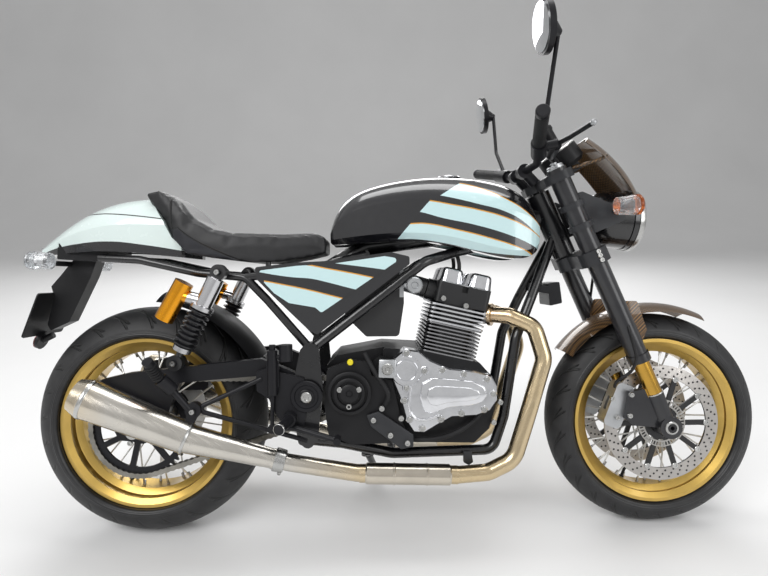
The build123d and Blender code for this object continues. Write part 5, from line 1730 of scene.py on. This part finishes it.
@dataclass
class Fork:
    """Fork caps, rings, axle ends, yoke bolts and caliper bolts."""

    palette: Palette
    top_w: float = 1076.0
    rings_w: tuple[tuple[float, float, float], ...] = ((507.0, 513.5, 27.6), (410.0, 414.0, 24.2))
    yoke_bolts_w: tuple[float, ...] = (808.0, 821.0, 832.0)
    yoke_bolts_y: float = 143.5
    caliper_bolts_at: tuple[Point, ...] = (
        (1312, 115.5, 331), (1316, 115.5, 388), (1286, 97.5, 322), (1272, 97.5, 374)
    )

    def build(self) -> None:
        """Build the fork's small parts."""
        self.caps()
        self.yoke_bolts()
        self.axle_ends()
        self.caliper_bolts()

    def caps(self) -> None:
        """Cap each fork leg and ring its tube where the diameter steps."""
        caps, rings = [], []
        for side in (-1, 1):
            top, above = STEER.leg(side, self.top_w), STEER.leg(side, 1200)
            profile = ((0, 24), (3, 24), (5, 22), (9, 22), (11, 20), (11, 9.5), (17, 9.5), (18, 8.5))
            caps.append(Bench.turned("cap", top, above, profile, 24))
            for low, high, wide in self.rings_w:
                tall = high - low
                profile = ((0, 21.8), (0, wide - 1), (1, wide), (tall - 1, wide), (tall, wide - 1), (tall, 21.8))
                rings.append(Bench.turned("ring", STEER.leg(side, low), above, profile, 32, ring=True))
        Bench.finish(Bench.joined("fork_caps", caps), self.palette.satin_alloy, Body.STEERING, Slot.FORK)
        Bench.finish(Bench.joined("fork_rings", rings), self.palette.bolt_steel, Body.STEERING, Slot.FORK)

    def yoke_bolts(self) -> None:
        """Set the yokes' pinch bolts."""
        places = []
        for side in (-1, 1):
            for w in self.yoke_bolts_w:
                places.append(Bench.aim(STEER.point(FORK_OFFSET, side * self.yoke_bolts_y, w), (0, side, 0)))
        bolts = Bench.copied("yoke_bolts", Bench.bolt(6.5, 6.0), places)
        Bench.finish(bolts, self.palette.bolt_steel, Body.STEERING, Slot.YOKE)

    def axle_ends(self) -> None:
        """Ring both ends of the front axle."""
        profile = ((0, 11), (0, 18), (4, 18), (6, 16.5), (6, 12.5), (3, 11.5))
        ends = []
        for side in (-1, 1):
            start, stop = (FRONT_AXLE + Vector((0, side * y, 0)) for y in (128, 200))
            ends.append(Bench.turned("axle_end", start, stop, profile, 24, ring=True))
        Bench.finish(Bench.joined("front_axle_ends", ends), self.palette.bolt_steel, Body.STEERING, Slot.AXLE)

    def caliper_bolts(self) -> None:
        """Bolt the calipers to the legs and their halves together."""
        places = []
        for side in (-1, 1):
            for x, y, z in self.caliper_bolts_at:
                places.append(Bench.aim((x, side * y, z), (0, side, 0)))
        bolts = Bench.copied("caliper_bolts", Bench.bolt(7.0, 7.0), places)
        Bench.finish(bolts, self.palette.bolt_steel, Body.STEERING, Slot.AXLE)


@dataclass
class Engine:
    """Cover bolts, bosses, hoses and the small castings round the engine."""

    palette: Palette
    round_cover: tuple[Point, ...] = ((704, 514), (750, 468), (704, 424), (658, 468))
    flange: tuple[Point, ...] = (
        *((796, 469), (852, 458), (912, 444), (929, 406), (905, 366)),
        *((846, 357), (792, 342), (744, 319), (712, 342), (698, 392)),
    )
    panel: tuple[Point, ...] = (
        *((738, 400), (744, 436), (770, 450), (820, 446), (876, 440), (906, 426)),
        *((914, 404), (900, 384), (868, 376), (812, 372), (768, 356), (748, 364)),
    )
    panel_centre: tuple[float, float] = (825.0, 404.0)
    clutch_x: float = 556.0
    clutch_z: float = 410.0
    pivot_x: float = 447.0
    pivot_z: float = 405.0

    def build(self) -> None:
        """Build the engine's dressing."""
        self.cover_bolts()
        self.lugs()
        self.bosses()
        self.lines()
        self.plates()
        self.gasket()
        self.clutch()

    def clutch(self) -> None:
        """Ring and cap the dark round cover behind the polished one."""
        rings = []
        for near, wide, thick in ((-160, 56, 4), (-164, 40, 3)):
            rings.append(
                Bench.turned(
                    "clutch_ring", self.clutch_at(near), self.clutch_at(near - 50), (
                        (-2, wide), (thick - 1, wide), (thick, wide - 1.5), (thick, wide - 8), (-2, wide - 9)
                    ), 56, ring=True
                )
            )
        rings.append(
            Bench.turned(
                "clutch_cap",
                self.clutch_at(-160),
                self.clutch_at(-190),
                ((0, 24), (6, 24), (8, 21), (8, 9), (5, 7)),
                40,
            )
        )
        Bench.finish(Bench.joined("clutch_cover_rings", rings), self.palette.case_black, Body.CHASSIS, Slot.CASE)

    def clutch_at(self, y: float) -> Vector:
        """Return a place on the dark round cover's axis."""
        return Vector((self.clutch_x, y, self.clutch_z))

    def cover_bolts(self) -> None:
        """Set the covers' socket bolts."""
        model = Bench.bolt(7.6, 6.5)
        places = []
        case = ((531, 420), (581, 420), (555, 376), (618, 340), (706, 279), (662, 300), (640, 370), (690, 344))
        head_and_front = ((807, 653), (867, 632), (959, 373), (941, 319))
        for y, group in ((-170, self.round_cover), (-167.4, self.flange), (-161, case), (-118, head_and_front)):
            places += [Bench.aim((x, y, z), (0, -1, 0)) for x, z in group]
        Bench.finish(
            Bench.copied("engine_bolts", model, places), self.palette.bolt_steel, Body.CHASSIS, Slot.POLISHED
        )

    def lugs(self) -> None:
        """Raise the bosses under the polished covers' bolts, the panel, the rib and the cap's ring."""
        model = Bench.turned("lug", (0, 0, 0), (0, 0, 1), ((-5, 11.5), (2.4, 11.5), (4, 10.2)), 20)
        places = [Bench.aim((x, -166, z), (0, -1, 0)) for x, z in self.round_cover]
        Bench.finish(Bench.copied("cover_lugs", model, places), self.palette.polished, Body.CHASSIS, Slot.POLISHED)
        small = Bench.turned("lug", (0, 0, 0), (0, 0, 1), ((-6, 10.0), (0.8, 10.0), (1.8, 9.0)), 20)
        places = [Bench.aim((x, -166, z), (0, -1, 0)) for x, z in self.flange]
        Bench.finish(Bench.copied("flange_lugs", small, places), self.palette.polished, Body.CHASSIS, Slot.POLISHED)
        raised = Bench.slab("cover_panel", self.panel, -171.5, -160, 4.5, 4)
        mid_x, mid_z = self.panel_centre
        inner = [(mid_x + (x - mid_x) * 0.8, mid_z + (z - mid_z) * 0.55) for x, z in self.panel]
        middle = Bench.slab("cover_band", inner, -175, -168, 3.0, 4)
        rib = Bench.run(
            "cover_rib",
            ((716, -166, 428), (708, -168, 396), (714, -168, 352), (744, -168, 334), (790, -166, 352)),
            4.0,
            4,
        )
        Bench.finish(
            Bench.joined("cover_relief", [raised, middle, rib]),
            self.palette.polished,
            Body.CHASSIS,
            Slot.POLISHED,
            60.0,
        )
        ring = Bench.turned(
            "cap_ring", (704, -172, 468), (704, -200, 468), ((0, 30), (2.5, 29), (2.5, 25), (0, 24)), 48, ring=True
        )
        Bench.finish(ring, self.palette.polished, Body.CHASSIS, Slot.POLISHED)

    def bosses(self) -> None:
        """Turn the pivot's boss and bolt, the yellow marker, the square flange and the throttle cap."""
        inside, outside, away = (Vector((self.pivot_x, y, self.pivot_z)) for y in (-171, -178, -200))
        boss = Bench.turned(
            "pivot_boss",
            inside,
            away,
            ((0, 41), (3, 41), (5, 39), (5, 31), (2.5, 29), (2.5, 20), (6, 19), (7, 17)),
            40,
        )
        Bench.finish(boss, self.palette.satin_black, Body.CHASSIS, Slot.CASE)
        bolt = Bench.turned("pivot_bolt", outside, away, ((0, 14), (5, 14), (7, 12), (7, 7.5), (3, 6.5)), 24)
        Bench.finish(bolt, self.palette.bolt_steel, Body.CHASSIS, Slot.AXLE)
        marker = Bench.turned("marker_bolt", (559, -158, 491), (559, -190, 491), ((0, 8), (6, 8), (8, 6.5)), 18)
        Bench.finish(marker, self.palette.yellow, Body.CHASSIS, Slot.PLASTIC)
        flange = Bench.slab("square_flange", ((631, 452), (633, 500), (679, 498), (677, 450)), -176, -164, 4.0, 2)
        Bench.finish(flange, self.palette.satin_alloy, Body.CHASSIS, Slot.SATIN_ALLOY)
        centre = Bench.turned(
            "flange_cap", (655, -176, 474), (655, -200, 474), ((0, 15), (3, 15), (5, 13), (5, 7), (3, 5)), 28
        )
        Bench.finish(centre, self.palette.bolt_steel, Body.CHASSIS, Slot.SATIN_ALLOY)
        cap = Bench.turned(
            "throttle_cap", (730, -118, 688), (730, -140, 688), ((0, 22), (6, 22), (9, 19), (9, 10), (6, 8)), 32
        )
        Bench.finish(cap, self.palette.satin_alloy, Body.CHASSIS, Slot.SATIN_ALLOY)

    def lines(self) -> None:
        """Lay the plug leads and the oil and breather hoses."""
        leads = []
        for y in (-56, 56):
            leads.append(
                Bench.run("lead", ((842, y, 640), (852, y, 700), (866, y * 0.9, 748), (850, y * 0.6, 790)), 5.5)
            )
            leads.append(Bench.turned("plug_cap", (838, y, 618), (846, y, 680), ((0, 9), (34, 9), (38, 7)), 16))
        leads.append(
            Bench.run(
                "oil_hose",
                ((596, -150, 512), (618, -164, 470), (648, -170, 430), (662, -166, 398), (641, -150, 366)),
                6.5,
            )
        )
        leads.append(
            Bench.run(
                "breather",
                ((700, -128, 280), (770, -140, 276), (850, -136, 300), (904, -128, 340), (920, -112, 360)),
                7.0,
            )
        )
        Bench.finish(Bench.joined("engine_lines", leads), self.palette.rubber, Body.CHASSIS, Slot.HOSE)

    def plates(self) -> None:
        """Add the header bracket, the pump plate and the down-tube tabs."""
        pump = Bench.slab(
            "pump_plate",
            ((600, 352), (632, 362), (722, 300), (722, 268), (690, 262), (612, 322)),
            -161,
            -152,
            3.0,
            2,
        )
        bracket = Bench.slab(
            "header_bracket", ((858, 244), (880, 244), (884, 214), (872, 206), (858, 214)), -128, -118, 2.0, 2
        )
        Bench.finish(
            Bench.joined("engine_plates", [pump, bracket]), self.palette.yoke_grey, Body.CHASSIS, Slot.SATIN_ALLOY
        )

    def gasket(self) -> None:
        """Show the bright joint line under the rocker covers."""
        tilt = math.radians(CYLINDER_TILT_DEG)
        along = Vector((math.sin(tilt), 0, math.cos(tilt)))
        across = Vector((math.cos(tilt), 0, -math.sin(tilt)))
        foot = CYLINDER_FOOT + along * 201
        corners = [foot + across * a + along * b for a, b in ((-62, -2), (62, -2), (62, 2), (-62, 2))]
        strip = Bench.slab("rocker_gasket", [(c.x, c.z) for c in corners], -104, 104, 1.0, 1)
        Bench.finish(strip, self.palette.satin_alloy, Body.CHASSIS, Slot.POLISHED)


@dataclass
class Exhausts:
    """Clamps, muffler rings, collector sleeves, tip rings and the dark mouths."""

    palette: Palette
    joint: tuple[float, float, float] = (377.0, 170.0, 242.0)
    waist: tuple[float, float, float] = (150.0, 191.0, 308.0)
    tip: tuple[float, float, float] = (-92.0, 210.0, 416.0)
    sleeve_front: tuple[float, float, float] = (820.0, 150.1, 190.1)
    sleeve_back: tuple[float, float, float] = (596.0, 150.9, 197.5)
    sleeve: tuple[Point, ...] = (
        *((0, 23.8), (4, 27.0), (60, 27.0), (61.5, 28.4), (64, 28.4), (65.5, 27.0)),
        *((146, 27.0), (147.5, 28.4), (150, 28.4), (151.5, 27.0), (220, 27.0), (224, 23.8)),
    )

    @staticmethod
    def on_side(side: int, *places: Point) -> list[Vector]:
        """Return places of the left pipe as they lie on one side."""
        return [Vector((x, side * y, z)) for x, y, z in places]

    def build(self) -> None:
        """Build both sides' rings, sleeves, liners and clamp bolts."""
        rings, sleeves, liners, bolts = [], [], [], []
        for side in (-1, 1):
            joint, waist, tip = self.on_side(side, self.joint, self.waist, self.tip)
            rings += self.rings(joint, waist, tip)
            front, back = self.on_side(side, self.sleeve_front, self.sleeve_back)
            sleeves.append(Bench.turned("sleeve", front, back, self.sleeve, 40))
            way = (tip - waist).normalized()
            mouth = ((0, 29.9), (58, 29.9), (58, 28.9), (0, 28.9))
            liners.append(Bench.turned("liner", tip + way * 25, tip, mouth, 36, ring=True))
            bolts.append(Bench.aim((joint.x, joint.y + side * 12, joint.z - 28), (0, side, -0.3)))
        Bench.finish(Bench.joined("muffler_rings", rings), self.palette.bolt_steel, Body.CHASSIS, Slot.STAINLESS)
        Bench.finish(Bench.joined("collector_sleeves", sleeves), self.palette.sleeve, Body.CHASSIS, Slot.STAINLESS)
        Bench.finish(Bench.joined("muffler_liners", liners), self.palette.soot, Body.CHASSIS, Slot.STAINLESS)
        clamps = Bench.copied("clamp_bolts", Bench.bolt(5.0, 6.0), bolts)
        Bench.finish(clamps, self.palette.bolt_steel, Body.CHASSIS, Slot.STAINLESS)

    @staticmethod
    def rings(joint: Vector, waist: Vector, tip: Vector) -> list[Piece]:
        """Return the clamp and the muffler's two rings on one side.

        Args:
            joint: Where the muffler slips over the header.
            waist: Where its cone ends.
            tip: Its rear edge.

        Returns:
            The three rings.
        """
        clamp = ((-14, 24), (-14, 27), (-12, 29), (12, 30.5), (14, 29), (14, 24))
        seam = ((-3, 39.4), (-3, 41), (-1.5, 42), (3, 42.6), (4.5, 41.4), (4.5, 39.4))
        edge = ((-12, 48.6), (-12, 50), (-10, 51), (-4, 51), (-2, 50), (-2, 48.6))
        return [
            Bench.turned("clamp", joint, waist, clamp, 40, ring=True),
            Bench.turned("waist_ring", waist, tip, seam, 48, ring=True),
            Bench.turned("tip_ring", tip, tip + (tip - waist), edge, 48, ring=True),
        ]


@dataclass
class Cockpit:
    """Dials, headlamp glass, reservoir, mirror faces, bar ends and indicators."""

    palette: Palette
    dial_foot: tuple[float, float, float] = (1182.0, 46.0, 1022.0)
    dial_top: tuple[float, float, float] = (1150.0, 46.0, 1064.0)
    dial_depth: float = 52.8
    headlamp_at: tuple[float, float, float] = (1288.0, 0.0, 874.0)
    headlamp_tilt_deg: float = -4.0

    def build(self) -> None:
        """Build what the rider looks at."""
        self.dials()
        self.headlamp()
        self.controls()
        self.mirrors()
        self.indicators()

    def dials(self) -> None:
        """Bezels, faces and needles on both instruments."""
        bezels, faces, needles = [], [], []
        for side in (-1, 1):
            low, high = (Vector((x, side * y, z)) for x, y, z in (self.dial_foot, self.dial_top))
            way = (high - low).normalized()
            top = low + way * self.dial_depth
            bezels.append(
                Bench.turned(
                    "bezel",
                    top,
                    top + way,
                    ((-6, 36.3), (-6, 38.6), (2.5, 38.6), (4, 37), (3, 33.5), (0.5, 33.5)),
                    40,
                    ring=True,
                )
            )
            faces.append(Bench.turned("face", top, top + way, ((0.1, 34), (1.0, 34), (1.3, 20)), 40))
            needle = Bench.slab("needle", ((-1, -4), (1, -4), (0.5, 26), (-0.5, 26)), -0.4, 0.4)
            needle.data.transform(Matrix.Rotation(math.radians(90), 4, "X"))
            needle.data.transform(Bench.aim(top + way * 2.2, way))
            needles.append(needle)
        Bench.finish(Bench.joined("dial_bezels", bezels), self.palette.bolt_steel, Body.STEERING, Slot.PLASTIC)
        Bench.finish(Bench.joined("dial_faces", faces), self.palette.dial, Body.STEERING, Slot.PLASTIC)
        Bench.finish(Bench.joined("dial_needles", needles), self.palette.pale, Body.STEERING, Slot.PLASTIC)

    def headlamp(self) -> None:
        """Bright rim and domed face."""
        tilt = math.radians(self.headlamp_tilt_deg)
        way = Vector((math.cos(tilt), 0, math.sin(tilt)))
        centre = Vector(self.headlamp_at)
        rim = Bench.turned(
            "headlamp_rim",
            centre,
            centre + way,
            ((70, 85.4), (70, 87.2), (80, 87.2), (86.5, 83), (86.5, 78), (78, 77)),
            64,
            ring=True,
        )
        Bench.finish(rim, self.palette.bolt_steel, Body.STEERING, Slot.LENS)
        glass = Bench.turned(
            "headlamp_glass",
            centre,
            centre + way,
            ((83, 79), (85, 79), (91, 70), (95.5, 52), (98, 28), (98.6, 8)),
            64,
        )
        Bench.finish(glass, self.palette.lamp_face, Body.STEERING, Slot.LENS, 60.0)

    def controls(self) -> None:
        """Reservoir, switches, lever balls and bar ends."""
        cup = Bench.turned(
            "fluid_cup",
            (1092, -150, 1046),
            (1060, -150, 1098),
            ((0, 17), (4, 19), (40, 20), (44, 22.5), (52, 22.5), (55, 20.5)),
            28,
        )
        Bench.finish(cup, self.palette.plastic, Body.STEERING, Slot.PLASTIC)
        switch = Bench.slab(
            "kill_switch", ((1038, 1056), (1052, 1060), (1056, 1066), (1036, 1064)), -206, -194, 1.5, 2
        )
        Bench.finish(switch, self.palette.red, Body.STEERING, Slot.PLASTIC)
        balls, ends = [], []
        for side in (-1, 1):
            tip = Vector((1118, side * 338, 1056))
            balls.append(
                Bench.turned(
                    "ball", tip, tip + Vector((4, side * 20, 0)), ((-7, 3), (-5, 6), (0, 8), (5, 6), (7, 2.5)), 16
                )
            )
            inner, outer = Vector((1033, side * 214, 1042)), Vector((1000, side * 344, 1072))
            ends.append(
                Bench.turned(
                    "bar_end",
                    outer,
                    outer + (outer - inner),
                    ((0, 15), (3, 16.5), (16, 16.5), (19, 14), (19, 5)),
                    28,
                )
            )
        Bench.finish(Bench.joined("lever_balls", balls), self.palette.satin_alloy, Body.STEERING, Slot.PLASTIC)
        Bench.finish(Bench.joined("bar_ends", ends), self.palette.satin_black, Body.STEERING, Slot.GRIP)

    def mirrors(self) -> None:
        """Faces of both mirrors."""
        faces = []
        for side in (-1, 1):
            at = Vector((1002, side * 330, 1272))
            way = Vector((-1, 0, -0.12)).normalized()
            faces.append(Bench.turned("mirror_glass", at, at + way, ((-1, 54), (2.6, 54), (3.4, 52)), 48))
        Bench.finish(Bench.joined("mirror_glasses", faces), self.palette.mirror, Body.STEERING, Slot.LENS)

    def indicators(self) -> None:
        """Amber bulbs' caps on the front indicators."""
        caps = []
        for side in (-1, 1):
            at = Vector((1306, side * 170, 894))
            caps.append(
                Bench.turned(
                    "cap", at, at + Vector((59, 0, 4)), ((-3, 26.5), (2, 26.5), (7, 22), (10, 12), (11, 4)), 32
                )
            )
        Bench.finish(Bench.joined("front_indicator_caps", caps), self.palette.amber_lens, Body.STEERING, Slot.LENS)


@dataclass
class Tail:
    """The caps of the rear indicators and the tank, the reflector, the pegs' parts and the damper bolts."""

    palette: Palette
    swingarm_bolt: tuple[float, float, float] = (165.0, 197.0, 376.0)
    peg_grooves: int = 6

    def build(self) -> None:
        """Build the rear's small parts."""
        self.caps()
        self.pegs()
        self.damper_bolts()

    def caps(self) -> None:
        """Cap the rear indicators and the tank, and put the red reflector under the plate's place."""
        caps = []
        for side in (-1, 1):
            at = Vector((-255, side * 150, 758.5))
            caps.append(
                Bench.turned(
                    "cap", at, at + Vector((-59, 0, 4)), ((-3, 22), (2, 22), (7, 18), (10, 10), (11, 4)), 32
                )
            )
        Bench.finish(Bench.joined("rear_indicator_caps", caps), self.palette.lens, Body.CHASSIS, Slot.LENS)
        reflector = Bench.turned("reflector", (-326, 0, 539), (-336, 0, 543), ((0, 26), (4, 26), (5.5, 24)), 36)
        Bench.finish(reflector, self.palette.red_lens, Body.CHASSIS, Slot.LENS)
        profile = ((0, 33), (4, 33), (6, 31), (6, 22), (7.5, 20), (7.5, 6))
        cap = Bench.turned("tank_cap", (840, 0, 991), (840, 0, 1010), profile, 48)
        Bench.finish(cap, self.palette.polished, Body.CHASSIS, Slot.TANK)

    def pegs(self) -> None:
        """Ring the rider's pegs and sleeve the pillion's with ribbed rubber."""
        rubbers, ends = [], []
        ribs = [(0.0, 13.2)]
        for i in range(self.peg_grooves):
            ribs += [(2 + 8.0 * i, 13.2), (2 + 8.0 * i, 15.0), (7 + 8.0 * i, 15.0), (7 + 8.0 * i, 13.2)]
        ribs.append((50.0, 13.2))
        for side in (-1, 1):
            out, foot = Vector((391, side * 262, 346)), Vector((405, side * 196, 351))
            profile = ((-6, 13.2), (-6, 14.4), (-1, 14.4), (0, 13.2))
            ends.append(Bench.turned("peg_ring", out, out + (out - foot), profile, 24, ring=True))
            start, stop = Vector((92, side * 222, 468)), Vector((82, side * 262, 514))
            rubbers.append(Bench.turned("pillion_rubber", start, start + (stop - start).normalized(), ribs, 20))
        Bench.finish(Bench.joined("peg_rings", ends), self.palette.bolt_steel, Body.CHASSIS, Slot.SATIN_ALLOY)
        Bench.finish(Bench.joined("pillion_rubbers", rubbers), self.palette.rubber, Body.CHASSIS, Slot.GRIP)

    def damper_bolts(self) -> None:
        """Bolt both dampers' ends and the swingarm's brackets."""
        places = []
        for side in (-1, 1):
            for end in (DAMPER_TOP, DAMPER_FOOT):
                places.append(Bench.aim((end.x, side * 186, end.z), (0, side, 0)))
            x, y, z = self.swingarm_bolt
            places.append(Bench.aim((x, side * y, z), (0, side, 0)))
        bolts = Bench.copied("damper_bolts", Bench.bolt(7.0, 7.0), places)
        Bench.finish(bolts, self.palette.bolt_steel, Body.CHASSIS, Slot.AXLE)


@dataclass
class Seat:
    """The sewn pad over the seat's base, filled by a short cloth simulation."""

    palette: Palette
    remesh: float = 0.006
    pressure: float = 3.0
    held_below_mm: float = 790.0
    cloth_frames: int = 16
    most_swell: float = 0.008

    def build(self) -> None:
        """Remesh a copy of the CAD seat, fill it as cloth, dress it and put it in the CAD seat's place."""
        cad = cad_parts["seat"]
        pad = cad.copy()
        pad.data = cad.data.copy()
        pad.name = "seat_pad"
        bpy.context.collection.objects.link(pad)
        pad.data.transform(cad.matrix_world)
        pad.parent = None
        pad.matrix_world = Matrix.Identity(4)
        Bench.choose(pad)
        bpy.ops.object.mode_set(mode="EDIT")
        bpy.ops.mesh.select_all(action="SELECT")
        bpy.ops.mesh.remove_doubles(threshold=0.0001)
        bpy.ops.object.mode_set(mode="OBJECT")
        remesh = pad.modifiers.new("remesh", "REMESH")
        remesh.mode = "VOXEL"
        remesh.voxel_size = self.remesh
        bpy.ops.object.modifier_apply(modifier=remesh.name)
        self.fill(pad)
        smooth = pad.modifiers.new("smooth", "SUBSURF")
        smooth.levels = 1
        bpy.ops.object.modifier_apply(modifier=smooth.name)
        pad.data.materials.clear()
        pad.data.materials.append(self.palette.seat)
        bpy.ops.object.shade_smooth()
        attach(pad, Body.CHASSIS.value)
        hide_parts("seat")
        LOG.info("seat pad: %d faces", len(pad.data.polygons))

    def fill(self, pad: Piece) -> None:
        """Blow the cover up a little so that it pads out between its seams.

        Args:
            pad: The remeshed pad.
        """
        before = [vertex.co.copy() for vertex in pad.data.vertices]
        pinned = pad.vertex_groups.new(name="held")
        back = PARK.inverted()
        for vertex in pad.data.vertices:
            place = back @ vertex.co
            if place.z < self.held_below_mm:
                pinned.add([vertex.index], 1.0, "REPLACE")
        cloth = pad.modifiers.new("cloth", "CLOTH")
        cloth.settings.use_pressure = True
        cloth.settings.uniform_pressure_force = self.pressure
        cloth.settings.quality = 4
        cloth.settings.mass = 0.4
        cloth.settings.tension_stiffness = 30
        cloth.settings.compression_stiffness = 30
        cloth.settings.bending_stiffness = 2.0
        cloth.settings.vertex_group_mass = "held"
        cloth.settings.effector_weights.gravity = 0.0
        cloth.point_cache.frame_start = 1
        cloth.point_cache.frame_end = self.cloth_frames
        scene = bpy.context.scene
        for step in range(1, self.cloth_frames + 1):
            scene.frame_set(step)
        Bench.choose(pad)
        bpy.ops.object.modifier_apply(modifier=cloth.name)
        scene.frame_set(1)
        most = 0.0
        for vertex, old in zip(pad.data.vertices, before):
            move = vertex.co - old
            most = max(most, move.length)
            if move.length > self.most_swell:
                vertex.co = old + move * (self.most_swell / move.length)
        LOG.info("seat pad swelled by up to %.1f mm", most * 1000)


def main() -> None:
    """Build the looks in order."""
    Studio().build()
    palette = Palette.mixed()
    dress_nodes(palette)
    for assembly in (Wheels, Fork, Engine, Exhausts, Cockpit, Tail, Seat):
        LOG.info("assembly %s", assembly.__name__)
        assembly(palette).build()


if __name__ == "__main__":
    main()
